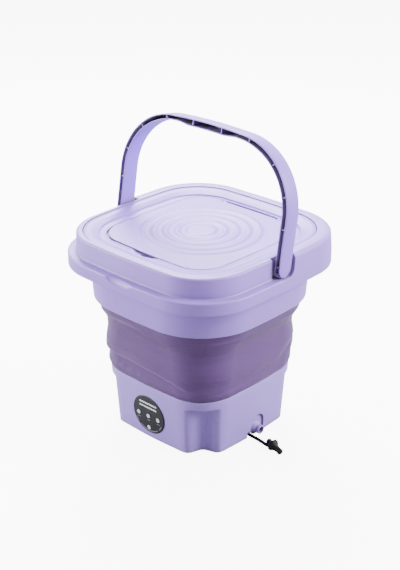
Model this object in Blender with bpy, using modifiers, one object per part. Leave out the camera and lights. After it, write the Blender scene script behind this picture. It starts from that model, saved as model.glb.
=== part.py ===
"""Folding mini washing machine: a rounded-square tub on a tapered motor base, with a
collapsible bellows wall, a wide rim, a lift-off lid with a flap, and a bail handle.

Units are metres, +Z is up, and the origin is on the floor at the middle of the base.
The control panel faces -Y, the drain faces +X, and the handle turns about the X axis.
"""

import math

import bmesh
import bpy
from mathutils import Matrix, Vector

# ---------------------------------------------------------------- driving dimensions
GAP = 0.0003  # between pieces that touch

# base
SHELL_FOOT_Z = 0.0015
SHELL_TOP_Z = 0.0815
SHELL_FOOT_HALF = 0.0914
SHELL_TOP_HALF = 0.0969
SHELL_FOOT_CORNER = 0.0415
SHELL_TOP_CORNER = 0.0485
SHELL_WALL = 0.0030
SIDE_BOW = 0.0024
FLUTE_DEPTH = 0.0125
FLUTE_HALF_ANGLE = math.radians(12.5)
FLUTE_TOP_Z = 0.0672
DECK_TOP_Z = 0.0700
DECK_THICKNESS = 0.0030
COVER_BOTTOM_Z = 0.0022
COVER_THICKNESS = 0.0030
FOOT_RADIUS = 0.0080
FOOT_SPREAD_X = 0.0300
FOOT_SPREAD_Y = 0.0620
BOSS_RADIUS = 0.0050
BOSS_SPREAD = 0.0580
SCREW_RADIUS = 0.0015
SCREW_HEAD_RADIUS = 0.0032
SCREW_LENGTH = 0.0130
JACK_RADIUS = 0.0060
JACK_Z = 0.0300

# drive
SHAFT_RADIUS = 0.0040
BUSH_RADIUS = 0.0085
GEARBOX_RADIUS = 0.0260
GEARBOX_HEIGHT = 0.0160
MOTOR_RADIUS = 0.0180
MOTOR_HEIGHT = 0.0360
PULSATOR_RADIUS = 0.0700
PULSATOR_BOTTOM_Z = 0.0716
PULSATOR_HUB_Z = 0.0860
VANE_COUNT = 4

# control panel
PANEL_RADIUS = 0.0276
PANEL_Z = 0.0375
PANEL_PROUD = 0.0006
PANEL_THICKNESS = 0.0040
BUTTON_RADIUS = 0.0029
BUTTON_ROW_SPACING = 0.0172
BUTTON_ROW_RISE = -0.0020
POWER_BUTTON_RISE = -0.0192
BUTTON_TRAVEL = 0.0008
BUTTON_PROUD = 0.0011

# drain
DRAIN_Y = 0.0070
DRAIN_Z = 0.0105
DRAIN_ARCH_HALF = 0.0130
DRAIN_ARCH_TOP_Z = 0.0310
DRAIN_BORE = 0.0044
DRAIN_TIP_RADIUS = 0.0060
DRAIN_TIP_X = 0.1020
DRAIN_PLATE_X = 0.0920
DRAIN_SPIGOT_X = 0.0790
DRAIN_CONE_RADIUS = 0.0086
DRAIN_TUBE_RADIUS = 0.0048
TUBE_X = 0.0740
NOTCH_LEFT_Y = -0.0110
NOTCH_HEIGHT = 0.0110
STRAP_DIAMETER = 0.0046
STRAP_START_X = 0.0765
STRAP_HEADROOM_Z = 0.0062
STRAP_SIDE_Y = 0.0005
STRAP_ROUTE = (
    (0.0765, -0.0030, 0.0037),
    (0.0850, -0.0029, 0.0035),
    (0.0945, -0.0028, 0.0026),
    (0.1035, -0.0032, 0.0024),
    (0.1125, -0.0043, 0.0024),
    (0.1200, -0.0057, 0.0026),
    (0.1290, -0.0075, 0.0036),
)
PLUG_FLANGE_RADIUS = 0.0080
PLUG_NIPPLE_RADIUS = 0.0039
PLUG_X = 0.1338
PLUG_Y = -0.0074
PLUG_HEADING = math.radians(-6)
PLUG_TILT = math.radians(16)

# bellows and rim
NECK_BOTTOM_Z = 0.1810
NECK_HALF = 0.1194
NECK_CORNER = 0.0786
RIM_HALF = 0.1400
RIM_CORNER = 0.0755
SKIRT_BOTTOM_Z = 0.2250
LEDGE_Z = 0.2415
WALL_TOP_Z = 0.2675
FRONT_WALL_SETBACK = 0.0115
SEAT_HALF = 0.1222
SEAT_CORNER = 0.0620
SEAT_Z = 0.2570
RIM_WALL = 0.0026
SKIRT_WALL = 0.0027
FINGER_NOTCH_HALF = 0.0230
CLAMP_THICKNESS = 0.0024
BELLOWS_WALL = 0.0020
BELLOWS_TUCK = 0.0080
# share of the height from the base to the neck, half width, corner radius
BELLOWS_FOLDS = (
    (0.05, 0.0985, 0.0490),
    (0.14, 0.0992, 0.0495),
    (0.20, 0.0988, 0.0500),
    (0.30, 0.1014, 0.0520),
    (0.42, 0.1018, 0.0530),
    (0.56, 0.1004, 0.0540),
    (0.68, 0.1012, 0.0560),
    (0.78, 0.1046, 0.0600),
    (0.86, 0.1100, 0.0680),
    (0.91, 0.1120, 0.0700),
)
RIM_TRAVEL = 0.0880

# lid and flap
LID_TOP_Z = 0.2668
LID_THICKNESS = 0.0030
SEAL_THICKNESS = 0.0010
FLAP_HALF_X = 0.0930
FLAP_HALF_Y = 0.0975
FLAP_CENTRE_Y = 0.0025
FLAP_CORNER = 0.0380
FLAP_BOW = 0.0015
FLAP_TOP_Z = 0.2624
FLAP_THICKNESS = 0.0026
FLAP_SIDE_GAP = 0.0005
FLAP_HINGE_GAP = 0.0013
HINGE_HALF_LENGTH = 0.0440
HINGE_RADIUS = 0.0020
KNUCKLE_LENGTH = 0.0060
HINGE_PIN_RADIUS = 0.0009
FLAP_SWING = math.radians(50)
RIPPLE_RINGS = 4
RIPPLE_OUTER = 0.0780
RIPPLE_INNER = 0.0140
RIPPLE_HEIGHT = 0.0010

# handle
PIVOT_Z = 0.2542
HANDLE_HALF = RIM_HALF - 0.0001
HANDLE_REACH = 0.1475
HANDLE_CORNER = 0.0856
HANDLE_BOW = 0.0020
HANDLE_WIDTH = 0.0242
HANDLE_LEG = 0.0081
HANDLE_GRIP = 0.0100
HANDLE_WAIST = 0.0070
HANDLE_WALL = 0.0016
HANDLE_CHAMFER = 0.0045
GRIP_END = 0.0260
WAIST_AT = 0.0510
LEG_FROM = 0.0900
HUB_TOP = 0.0130
HANDLE_LEAN = math.radians(9.45)
RIB_STATIONS = (0.0235, 0.0690, 0.1175, 0.1610, 0.2010)
RIB_THICKNESS = 0.0014
PIVOT_PIN_RADIUS = 0.0020
POCKET_RADIUS = 0.0147
POCKET_FLOOR_X = RIM_HALF - 0.0138
PIN_ROOT_X = SEAT_HALF + 0.0003

# outline resolution
CORNER_STEPS = 8
SIDE_STEPS = 4

OBJECT_NAME = "folding_washing_machine"

# ---------------------------------------------------------------- dependent sizes
DECK_UNDERSIDE_Z = DECK_TOP_Z - DECK_THICKNESS
COVER_TOP_Z = COVER_BOTTOM_Z + COVER_THICKNESS
SHAFT_FOOT_Z = DECK_UNDERSIDE_Z - 0.0063
HINGE_Y = FLAP_CENTRE_Y + FLAP_HALF_Y - FLAP_HINGE_GAP - HINGE_RADIUS
HINGE_Z = FLAP_TOP_Z - 0.0014
CORNERS = (("front_left", -1, -1), ("front_right", 1, -1), ("back_left", -1, 1), ("back_right", 1, 1))
BUTTONS = (
    ("button_time", -BUTTON_ROW_SPACING, BUTTON_ROW_RISE),
    ("button_wash", 0.0, BUTTON_ROW_RISE),
    ("button_spin", BUTTON_ROW_SPACING, BUTTON_ROW_RISE),
    ("button_power", 0.0, POWER_BUTTON_RISE),
)


# ---------------------------------------------------------------- scene and materials
def clear_scene():
    for obj in list(bpy.data.objects):
        bpy.data.objects.remove(obj, do_unlink=True)


def new_collection(name, hidden=False):
    collection = bpy.data.collections.new(name)
    bpy.context.scene.collection.children.link(collection)
    collection.hide_render = hidden
    return collection


def linear(channel):
    value = channel / 255
    return value / 12.92 if value <= 0.04045 else ((value + 0.055) / 1.055) ** 2.4


def material(name, red, green, blue, roughness, metallic=0.0):
    made = bpy.data.materials.new(name)
    made.use_nodes = True
    shader = made.node_tree.nodes["Principled BSDF"]
    shader.inputs["Base Color"].default_value = (linear(red), linear(green), linear(blue), 1)
    shader.inputs["Roughness"].default_value = roughness
    shader.inputs["Metallic"].default_value = metallic
    return made


clear_scene()
parts = new_collection(OBJECT_NAME)
cutters = new_collection("cutters", hidden=True)

LAVENDER = material("lavender_plastic", 196, 186, 226, 0.38)
HANDLE_PLASTIC = material("lavender_handle_plastic", 196, 186, 226, 0.38)
PURPLE_RUBBER = material("translucent_purple_rubber", 128, 108, 158, 0.35)
DARK_PANEL = material("dark_panel_plastic", 66, 68, 72, 0.45)
BUTTON_PLASTIC = material("pale_button_plastic", 226, 226, 232, 0.40)
BLACK_RUBBER = material("black_rubber", 22, 22, 24, 0.55)
GREY_RUBBER = material("grey_rubber", 120, 118, 128, 0.70)
STEEL = material("zinc_plated_steel", 190, 190, 192, 0.30, 1.0)
BRONZE = material("sintered_bronze", 150, 116, 70, 0.45, 1.0)
WHITE_PLASTIC = material("white_gear_plastic", 225, 224, 220, 0.50)
BOARD = material("green_circuit_board", 34, 88, 54, 0.50)


# ---------------------------------------------------------------- mesh helpers
def finish(name, bm, finish_material, smooth_angle=35.0):
    """Turn a bmesh into a named node in the parts collection."""
    bmesh.ops.remove_doubles(bm, verts=bm.verts, dist=0.000001)
    bmesh.ops.recalc_face_normals(bm, faces=bm.faces)
    mesh = bpy.data.meshes.new(name)
    bm.to_mesh(mesh)
    bm.free()
    mesh.shade_smooth()
    mesh.set_sharp_from_angle(angle=math.radians(smooth_angle))
    obj = bpy.data.objects.new(name, mesh)
    mesh.materials.append(finish_material)
    parts.objects.link(obj)
    return obj


def as_cutter(obj):
    parts.objects.unlink(obj)
    cutters.objects.link(obj)
    obj.hide_render = True
    obj.display_type = "WIRE"
    return obj


def boolean(target, tool, operation="DIFFERENCE"):
    modifier = target.modifiers.new(f"{operation.lower()} {tool.name}", "BOOLEAN")
    modifier.operation = operation
    modifier.solver = "EXACT"
    modifier.object = tool


def outline(half_x, corner, z, bow=0.0, flute=0.0, half_y=None, centre_y=0.0):
    """A rounded rectangle of points at height z. bow swells its sides and flute hollows its
    corners; both follow the direction from the middle, so every outline pairs point to point."""
    half_y = half_x if half_y is None else half_y
    flat = []
    signs = ((1, 1), (-1, 1), (-1, -1), (1, -1))
    for quarter, (side_x, side_y) in enumerate(signs):
        middle_x = side_x * (half_x - corner)
        middle_y = side_y * (half_y - corner)
        for step in range(CORNER_STEPS + 1):
            angle = math.pi / 2 * (quarter + step / CORNER_STEPS)
            flat.append(Vector((middle_x + corner * math.cos(angle), middle_y + corner * math.sin(angle))))
        next_x, next_y = signs[(quarter + 1) % 4]
        angle = math.pi / 2 * (quarter + 1)
        end = Vector(
            (
                next_x * (half_x - corner) + corner * math.cos(angle),
                next_y * (half_y - corner) + corner * math.sin(angle),
            )
        )
        start = flat[-1].copy()
        for step in range(1, SIDE_STEPS):
            flat.append(start.lerp(end, step / SIDE_STEPS))
    points = []
    for point in flat:
        direction = math.atan2(point.y, point.x)
        swell = bow * math.cos(2 * direction) ** 2
        from_diagonal = abs((direction % (math.pi / 2)) - math.pi / 4) / FLUTE_HALF_ANGLE
        if from_diagonal < 1:
            swell -= flute * math.cos(math.pi / 2 * from_diagonal) ** 2
        moved = point * (1 + swell / point.length)
        points.append((moved.x, moved.y + centre_y, z))
    return points


def circle(radius, z, centre_x=0.0, centre_y=0.0):
    """A circle whose points pair with those of an outline."""
    points = []
    for x, y, _ in outline(1.0, 0.5, 0.0):
        direction = math.atan2(y, x)
        points.append((centre_x + radius * math.cos(direction), centre_y + radius * math.sin(direction), z))
    return points


def loft(rings, closed=False):
    """Skin a list of equal rings. A closed loft joins its last ring to its first; an open
    one is capped at both ends."""
    bm = bmesh.new()
    rows = [[bm.verts.new(point) for point in ring] for ring in rings]
    count = len(rows[0])
    pairs = list(zip(rows, rows[1:]))
    if closed:
        pairs.append((rows[-1], rows[0]))
    for lower, upper in pairs:
        for index in range(count):
            following = (index + 1) % count
            bm.faces.new((lower[index], lower[following], upper[following], upper[index]))
    if not closed:
        bm.faces.new(rows[0])
        bm.faces.new(rows[-1])
    return bm


def prism(points, depth, matrix):
    """A flat outline of (u, v) points pushed out by depth along its own third axis."""
    bm = bmesh.new()
    face = bm.faces.new([bm.verts.new((u, v, 0)) for u, v in points])
    pushed = bmesh.ops.extrude_face_region(bm, geom=[face])
    moved = [item for item in pushed["geom"] if isinstance(item, bmesh.types.BMVert)]
    bmesh.ops.translate(bm, verts=moved, vec=(0, 0, depth))
    bmesh.ops.transform(bm, matrix=matrix, verts=bm.verts)
    return bm


def block(low, high):
    bm = bmesh.new()
    bmesh.ops.create_cube(bm, size=1.0)
    low, high = Vector(low), Vector(high)
    size = high - low
    matrix = Matrix.Translation((low + high) / 2) @ Matrix.Diagonal((size.x, size.y, size.z, 1))
    bmesh.ops.transform(bm, matrix=matrix, verts=bm.verts)
    return bm


def rod(radius, start, end, segments=24, end_radius=None):
    """A cylinder or a cone between two points."""
    start, end = Vector(start), Vector(end)
    axis = end - start
    bm = bmesh.new()
    end_radius = radius if end_radius is None else end_radius
    bmesh.ops.create_cone(
        bm, cap_ends=True, segments=segments, radius1=radius, radius2=end_radius, depth=axis.length
    )
    turn = axis.to_track_quat("Z", "Y").to_matrix().to_4x4()
    bmesh.ops.transform(bm, matrix=Matrix.Translation((start + end) / 2) @ turn, verts=bm.verts)
    return bm


def turned(name, profile, finish_material, matrix=None, steps=28):
    """A Screw of a (radius, height) profile that runs from the top axis point, down its
    outer side, to the bottom axis point."""
    mesh = bpy.data.meshes.new(name)
    edges = [(index, index + 1) for index in range(len(profile) - 1)]
    mesh.from_pydata([(radius, 0, height) for radius, height in profile], edges, [])
    obj = bpy.data.objects.new(name, mesh)
    mesh.materials.append(finish_material)
    parts.objects.link(obj)
    screw = obj.modifiers.new("turn", "SCREW")
    screw.steps = steps
    screw.render_steps = steps
    screw.use_merge_vertices = True
    screw.merge_threshold = 0.000001
    screw.use_smooth_shade = True
    if matrix is not None:
        obj.matrix_world = matrix
    return obj


def facing(point, normal):
    """A frame at point whose Z axis is normal and whose Y axis leans up."""
    normal = Vector(normal).normalized()
    return Matrix.Translation(point) @ normal.to_track_quat("Z", "Y").to_matrix().to_4x4()


# ---------------------------------------------------------------- base
def blend(start, end, share):
    return start + (end - start) * share


def shell_share(z):
    return (z - SHELL_FOOT_Z) / (SHELL_TOP_Z - SHELL_FOOT_Z)


def shell_ring(z, inset=0.0, flute=0.0):
    half = blend(SHELL_FOOT_HALF, SHELL_TOP_HALF, shell_share(z)) - inset
    corner = blend(SHELL_FOOT_CORNER, SHELL_TOP_CORNER, shell_share(z)) - inset
    return outline(half, corner, z, bow=SIDE_BOW, flute=flute)


def face_distance(z):
    """How far the middle of each side stands from the axis at height z."""
    return blend(SHELL_FOOT_HALF, SHELL_TOP_HALF, shell_share(z)) + SIDE_BOW


# seen along +X: u is +Y, v is +Z
ALONG_X = Matrix(((0, 0, 1, 0), (1, 0, 0, 0), (0, 1, 0, 0), (0, 0, 0, 1)))
TAPER = math.atan2(SHELL_TOP_HALF - SHELL_FOOT_HALF, SHELL_TOP_Z - SHELL_FOOT_Z)
# across, up the sloping front face, and out of it
PANEL_FRAME = Matrix.Translation((0, -face_distance(PANEL_Z), PANEL_Z)) @ Matrix(
    (
        (1, 0, 0, 0),
        (0, -math.sin(TAPER), -math.cos(TAPER), 0),
        (0, math.cos(TAPER), -math.sin(TAPER), 0),
        (0, 0, 0, 1),
    )
)


def on_panel(across, up, out):
    return PANEL_FRAME @ Vector((across, up, out))


def arch_points(margin, floor_z, notch_y):
    """The drain opening seen along -X, as (y, z): round at its top, with a lower step
    towards -Y whose side stands at notch_y."""
    radius = DRAIN_ARCH_HALF + margin
    spring_z = DRAIN_ARCH_TOP_Z - DRAIN_ARCH_HALF
    step_z = NOTCH_HEIGHT + margin
    points = [(DRAIN_Y + radius, floor_z)]
    for step in range(13):
        angle = math.pi * step / 12
        points.append((DRAIN_Y + radius * math.cos(angle), spring_z + radius * math.sin(angle)))
    points.append((DRAIN_Y - radius, step_z))
    points.append((notch_y - margin, step_z))
    points.append((notch_y - margin, floor_z))
    return points


def make_base_shell():
    wall = SHELL_WALL
    middle_z = (SHELL_FOOT_Z + FLUTE_TOP_Z) / 2
    rings = [
        shell_ring(SHELL_FOOT_Z, 0, FLUTE_DEPTH),
        shell_ring(middle_z, 0, FLUTE_DEPTH),
        shell_ring(FLUTE_TOP_Z, 0, FLUTE_DEPTH),
        shell_ring(FLUTE_TOP_Z + 0.0016),
        shell_ring(SHELL_TOP_Z),
        shell_ring(SHELL_TOP_Z, wall),
        shell_ring(DECK_TOP_Z, wall),
        circle(BUSH_RADIUS + GAP, DECK_TOP_Z),
        circle(BUSH_RADIUS + GAP, DECK_UNDERSIDE_Z),
        shell_ring(DECK_UNDERSIDE_Z, wall, FLUTE_DEPTH),
        shell_ring(middle_z, wall, FLUTE_DEPTH),
        shell_ring(SHELL_FOOT_Z, wall, FLUTE_DEPTH),
    ]
    shell = finish("base_shell", loft(rings, closed=True), LAVENDER)
    for name, side_x, side_y in CORNERS:
        place = (side_x * BOSS_SPREAD, side_y * BOSS_SPREAD)
        boss = rod(BOSS_RADIUS, (*place, COVER_TOP_Z + GAP), (*place, DECK_UNDERSIDE_Z + 0.001), 16)
        boolean(shell, as_cutter(finish(f"boss_{name}", boss, LAVENDER)), "UNION")
        pilot = rod(SCREW_RADIUS + GAP, (*place, 0), (*place, COVER_TOP_Z + SCREW_LENGTH + 0.001), 12)
        boolean(shell, as_cutter(finish(f"pilot_{name}", pilot, LAVENDER)))
    window = rod(PANEL_RADIUS + GAP, on_panel(0, 0, -0.012), on_panel(0, 0, 0.006), 48)
    boolean(shell, as_cutter(finish("panel_window", window, LAVENDER)))
    arch = prism(
        arch_points(0.0, SHELL_FOOT_Z - 0.004, NOTCH_LEFT_Y),
        0.04,
        Matrix.Translation((0.075, 0, 0)) @ ALONG_X,
    )
    boolean(shell, as_cutter(finish("drain_window", arch, LAVENDER)))
    jack = rod(JACK_RADIUS + GAP, (0, 0.080, JACK_Z), (0, 0.110, JACK_Z), 24)
    boolean(shell, as_cutter(finish("jack_window", jack, LAVENDER)))
    outlet = rod(
        DRAIN_TUBE_RADIUS + GAP,
        (TUBE_X, DRAIN_Y, DECK_UNDERSIDE_Z - 0.01),
        (TUBE_X, DRAIN_Y, DECK_TOP_Z + 0.01),
        20,
    )
    boolean(shell, as_cutter(finish("tub_outlet", outlet, LAVENDER)))


def make_bottom_cover():
    inset = SHELL_WALL + 2 * GAP
    rings = [shell_ring(COVER_BOTTOM_Z, inset, FLUTE_DEPTH), shell_ring(COVER_TOP_Z, inset, FLUTE_DEPTH)]
    cover = finish("bottom_cover", loft(rings), LAVENDER)
    head_seat_z = COVER_BOTTOM_Z + 0.0016
    for name, side_x, side_y in CORNERS:
        place = (side_x * BOSS_SPREAD, side_y * BOSS_SPREAD)
        hole = rod(SCREW_RADIUS + GAP, (*place, 0), (*place, COVER_TOP_Z + 0.004), 12)
        boolean(cover, as_cutter(finish(f"screw_hole_{name}", hole, LAVENDER)))
        sink = rod(SCREW_HEAD_RADIUS + GAP, (*place, 0), (*place, head_seat_z), 16)
        boolean(cover, as_cutter(finish(f"screw_sink_{name}", sink, LAVENDER)))
        profile = [
            (0, COVER_TOP_Z + SCREW_LENGTH),
            (SCREW_RADIUS * 0.6, COVER_TOP_Z + SCREW_LENGTH),
            (SCREW_RADIUS, COVER_TOP_Z + SCREW_LENGTH - 0.002),
            (SCREW_RADIUS, head_seat_z - GAP),
            (SCREW_HEAD_RADIUS, head_seat_z - GAP),
            (SCREW_HEAD_RADIUS, COVER_BOTTOM_Z + 0.0003),
            (SCREW_HEAD_RADIUS * 0.7, COVER_BOTTOM_Z),
            (0, COVER_BOTTOM_Z),
        ]
        turned(f"cover_screw_{name}", profile, STEEL, Matrix.Translation((*place, 0)), steps=14)
        spot = (side_x * FOOT_SPREAD_X, side_y * FOOT_SPREAD_Y)
        foot_top = COVER_BOTTOM_Z - GAP
        profile = [
            (0, foot_top),
            (FOOT_RADIUS - 0.0003, foot_top),
            (FOOT_RADIUS, foot_top - 0.0004),
            (FOOT_RADIUS - 0.0003, 0.0004),
            (FOOT_RADIUS - 0.0010, 0),
            (0, 0),
        ]
        turned(f"foot_{name}", profile, GREY_RUBBER, Matrix.Translation((*spot, 0)))
    relief = block((STRAP_START_X - GAP, NOTCH_LEFT_Y, -0.01), (0.12, DRAIN_Y + DRAIN_ARCH_HALF, 0.02))
    boolean(cover, as_cutter(finish("cover_relief", relief, LAVENDER)))


def make_drive():
    gear_top = DECK_UNDERSIDE_Z - GAP
    gear_bottom = gear_top - GEARBOX_HEIGHT
    motor_top = gear_bottom - GAP
    motor_bottom = motor_top - MOTOR_HEIGHT
    seat_z = gear_top - 0.002
    turned(
        "gearbox",
        [
            (0, SHAFT_FOOT_Z - GAP),
            (SHAFT_RADIUS + GAP, SHAFT_FOOT_Z - GAP),
            (SHAFT_RADIUS + GAP, seat_z),
            (BUSH_RADIUS + GAP, seat_z),
            (BUSH_RADIUS + GAP, gear_top),
            (GEARBOX_RADIUS - 0.001, gear_top),
            (GEARBOX_RADIUS, gear_top - 0.001),
            (GEARBOX_RADIUS, gear_bottom + 0.001),
            (GEARBOX_RADIUS - 0.001, gear_bottom),
            (0, gear_bottom),
        ],
        WHITE_PLASTIC,
    )
    turned(
        "motor",
        [
            (0, motor_top),
            (MOTOR_RADIUS - 0.001, motor_top),
            (MOTOR_RADIUS, motor_top - 0.001),
            (MOTOR_RADIUS, motor_bottom + 0.004),
            (MOTOR_RADIUS - 0.002, motor_bottom + 0.002),
            (0.006, motor_bottom + 0.002),
            (0.006, motor_bottom),
            (0, motor_bottom),
        ],
        STEEL,
    )
    bore = SHAFT_RADIUS + GAP
    bush_top = DECK_TOP_Z - 0.0004
    turned(
        "shaft_bush",
        [
            (bore, bush_top),
            (BUSH_RADIUS, bush_top),
            (BUSH_RADIUS, seat_z + GAP),
            (bore, seat_z + GAP),
            (bore, bush_top),
        ],
        BRONZE,
    )
    seal_foot = DECK_TOP_Z + GAP
    turned(
        "shaft_seal",
        [
            (bore, seal_foot + 0.0010),
            (bore + 0.0015, seal_foot + 0.0010),
            (BUSH_RADIUS + 0.002, seal_foot + 0.0006),
            (BUSH_RADIUS + 0.002, seal_foot),
            (bore, seal_foot),
            (bore, seal_foot + 0.0010),
        ],
        BLACK_RUBBER,
    )


def make_pulsator():
    flat_top = PULSATOR_BOTTOM_Z + 0.0035
    shaft_top = PULSATOR_HUB_Z - 0.006
    turned(
        "drive_shaft",
        [
            (0, shaft_top),
            (SHAFT_RADIUS - 0.0005, shaft_top),
            (SHAFT_RADIUS, shaft_top - 0.0005),
            (SHAFT_RADIUS, SHAFT_FOOT_Z),
            (0, SHAFT_FOOT_Z),
        ],
        STEEL,
    )
    hub = 0.020
    pulsator = turned(
        "pulsator",
        [
            (0, PULSATOR_HUB_Z),
            (hub * 0.5, PULSATOR_HUB_Z - 0.0008),
            (hub * 0.85, PULSATOR_HUB_Z - 0.0035),
            (hub * 1.4, flat_top + 0.0020),
            (PULSATOR_RADIUS * 0.7, flat_top),
            (PULSATOR_RADIUS - 0.0015, flat_top + 0.0004),
            (PULSATOR_RADIUS, flat_top - 0.0010),
            (PULSATOR_RADIUS - 0.0008, PULSATOR_BOTTOM_Z),
            (SHAFT_RADIUS + GAP, PULSATOR_BOTTOM_Z),
            (SHAFT_RADIUS + GAP, shaft_top + GAP),
            (0, shaft_top + GAP),
        ],
        WHITE_PLASTIC,
        steps=40,
    )
    vane_reach = PULSATOR_RADIUS - 0.006
    for index in range(VANE_COUNT):
        vane = block((0.012, -0.004, flat_top - 0.001), (vane_reach, 0.004, flat_top + 0.0075))
        for vert in vane.verts:
            if vert.co.z > flat_top:
                vert.co.y *= 0.35
                vert.co.x = min(vert.co.x, vane_reach - 0.012)
        turn = Matrix.Rotation(2 * math.pi * (index + 0.5) / VANE_COUNT, 4, "Z")
        bmesh.ops.transform(vane, matrix=turn, verts=vane.verts)
        boolean(pulsator, as_cutter(finish(f"vane_{index}", vane, WHITE_PLASTIC)), "UNION")


def make_control_panel():
    out = PANEL_PROUD
    back = out - PANEL_THICKNESS
    panel = turned(
        "control_panel",
        [
            (0, out),
            (PANEL_RADIUS - 0.0008, out),
            (PANEL_RADIUS, out - 0.0006),
            (PANEL_RADIUS, back),
            (0, back),
        ],
        DARK_PANEL,
        PANEL_FRAME,
        steps=40,
    )
    flange_radius = BUTTON_RADIUS + 0.0010
    flange_front = back + 0.0010
    for name, across, up in BUTTONS:
        hole = rod(BUTTON_RADIUS + GAP, on_panel(across, up, back - 0.001), on_panel(across, up, out + 0.002))
        boolean(panel, as_cutter(finish(f"hole_{name}", hole, DARK_PANEL)))
        relief = rod(
            flange_radius + GAP, on_panel(across, up, back - 0.001), on_panel(across, up, flange_front + GAP)
        )
        boolean(panel, as_cutter(finish(f"relief_{name}", relief, DARK_PANEL)))
        turned(
            name,
            [
                (0, out + BUTTON_PROUD),
                (BUTTON_RADIUS - 0.0005, out + BUTTON_PROUD),
                (BUTTON_RADIUS, out + BUTTON_PROUD - 0.0004),
                (BUTTON_RADIUS, flange_front),
                (flange_radius, flange_front),
                (flange_radius, back - 0.0002),
                (0, back - 0.0002),
            ],
            BUTTON_PLASTIC,
            PANEL_FRAME @ Matrix.Translation((across, up, 0)),
            steps=20,
        )
    board_front = back - 0.0002 - BUTTON_TRAVEL - 0.0010
    board = block((-0.0230, -0.0230, board_front - 0.0016), (0.0230, 0.0120, board_front))
    bmesh.ops.transform(board, matrix=PANEL_FRAME, verts=board.verts)
    finish("control_board", board, BOARD)


def make_power_jack():
    outer = face_distance(JACK_Z) + 0.0005
    turned(
        "power_jack",
        [
            (0, outer - 0.0020),
            (JACK_RADIUS * 0.17, outer - 0.0025),
            (JACK_RADIUS * 0.17, outer - 0.0100),
            (JACK_RADIUS * 0.5, outer - 0.0100),
            (JACK_RADIUS * 0.5, outer),
            (JACK_RADIUS - 0.0005, outer),
            (JACK_RADIUS, outer - 0.0006),
            (JACK_RADIUS, outer - 0.0140),
            (0, outer - 0.0140),
        ],
        BLACK_RUBBER,
        facing((0, 0, JACK_Z), (0, 1, 0)),
        steps=24,
    )


def make_drain():
    """The arched insert, its cone and its nozzle are one moulding, bored through."""
    floor_z = STRAP_HEADROOM_Z
    flange = prism(
        arch_points(0.0022, COVER_TOP_Z + 2 * GAP, DRAIN_Y - DRAIN_ARCH_HALF),
        0.0032,
        Matrix.Translation((DRAIN_PLATE_X - 0.0055, 0, 0)) @ ALONG_X,
    )
    insert = finish("drain_nozzle", flange, LAVENDER)
    plate = prism(
        arch_points(-GAP, floor_z, DRAIN_Y - DRAIN_ARCH_HALF),
        0.0030,
        Matrix.Translation((DRAIN_PLATE_X - 0.0030, 0, 0)) @ ALONG_X,
    )
    boolean(insert, as_cutter(finish("nozzle_plate", plate, LAVENDER)), "UNION")

    def along(name, start_x, end_x, radius, end_radius=None, operation="UNION"):
        piece = rod(radius, (start_x, DRAIN_Y, DRAIN_Z), (end_x, DRAIN_Y, DRAIN_Z), 28, end_radius)
        boolean(insert, as_cutter(finish(name, piece, LAVENDER)), operation)

    ring_x = DRAIN_TIP_X - 0.0048
    along("nozzle_cone", DRAIN_PLATE_X - 0.001, ring_x + 0.0004, DRAIN_CONE_RADIUS, DRAIN_TIP_RADIUS - 0.0008)
    along("nozzle_ring", ring_x, DRAIN_TIP_X, DRAIN_TIP_RADIUS)
    along("nozzle_spigot", DRAIN_SPIGOT_X, DRAIN_PLATE_X - 0.004, DRAIN_TIP_RADIUS)
    strap_way = block((DRAIN_SPIGOT_X, -0.03, -0.01), (DRAIN_PLATE_X + 0.002, STRAP_SIDE_Y, floor_z))
    boolean(insert, as_cutter(finish("strap_way", strap_way, LAVENDER)))
    along("nozzle_bore", DRAIN_SPIGOT_X - 0.002, DRAIN_TIP_X + 0.002, DRAIN_BORE, operation="DIFFERENCE")


def smooth_points(route, per_span):
    """A Catmull-Rom curve through the route, read per_span times between its points."""
    route = [Vector(point) for point in route]
    ends = [2 * route[0] - route[1], *route, 2 * route[-1] - route[-2]]
    points = []
    for index in range(len(route) - 1):
        before, start, end, after = ends[index : index + 4]
        for step in range(per_span):
            t = step / per_span
            pull = (end - before) * t + (2 * before - 5 * start + 4 * end - after) * t**2
            turn = (3 * start - before - 3 * end + after) * t**3
            points.append(start + (pull + turn) / 2)
    points.append(route[-1])
    return points


def tube(name, points, radius, finish_material, resolution=2):
    """A capped tube along a list of points, made a mesh."""
    curve = bpy.data.curves.new(name, "CURVE")
    curve.dimensions = "3D"
    curve.bevel_depth = radius
    curve.bevel_resolution = resolution
    curve.use_fill_caps = True
    spline = curve.splines.new("POLY")
    spline.points.add(len(points) - 1)
    for spot, point in zip(spline.points, points):
        spot.co = (*point, 1)
    curve.materials.append(finish_material)
    obj = bpy.data.objects.new(name, curve)
    parts.objects.link(obj)
    return obj


def make_drain_tube():
    top = DECK_TOP_Z - 0.0005
    end_x = DRAIN_SPIGOT_X - 2 * GAP
    route = [
        (TUBE_X, DRAIN_Y, top),
        (TUBE_X, DRAIN_Y, top - 0.016),
        (TUBE_X - 0.006, DRAIN_Y, (top + DRAIN_Z) / 2),
        (TUBE_X - 0.015, DRAIN_Y, DRAIN_Z + 0.014),
        (TUBE_X - 0.013, DRAIN_Y, DRAIN_Z + 0.004),
        (TUBE_X - 0.006, DRAIN_Y, DRAIN_Z),
        (end_x - 0.003, DRAIN_Y, DRAIN_Z),
        (end_x, DRAIN_Y, DRAIN_Z),
    ]
    tube("drain_tube", smooth_points(route, 3), DRAIN_TUBE_RADIUS, GREY_RUBBER)


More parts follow.
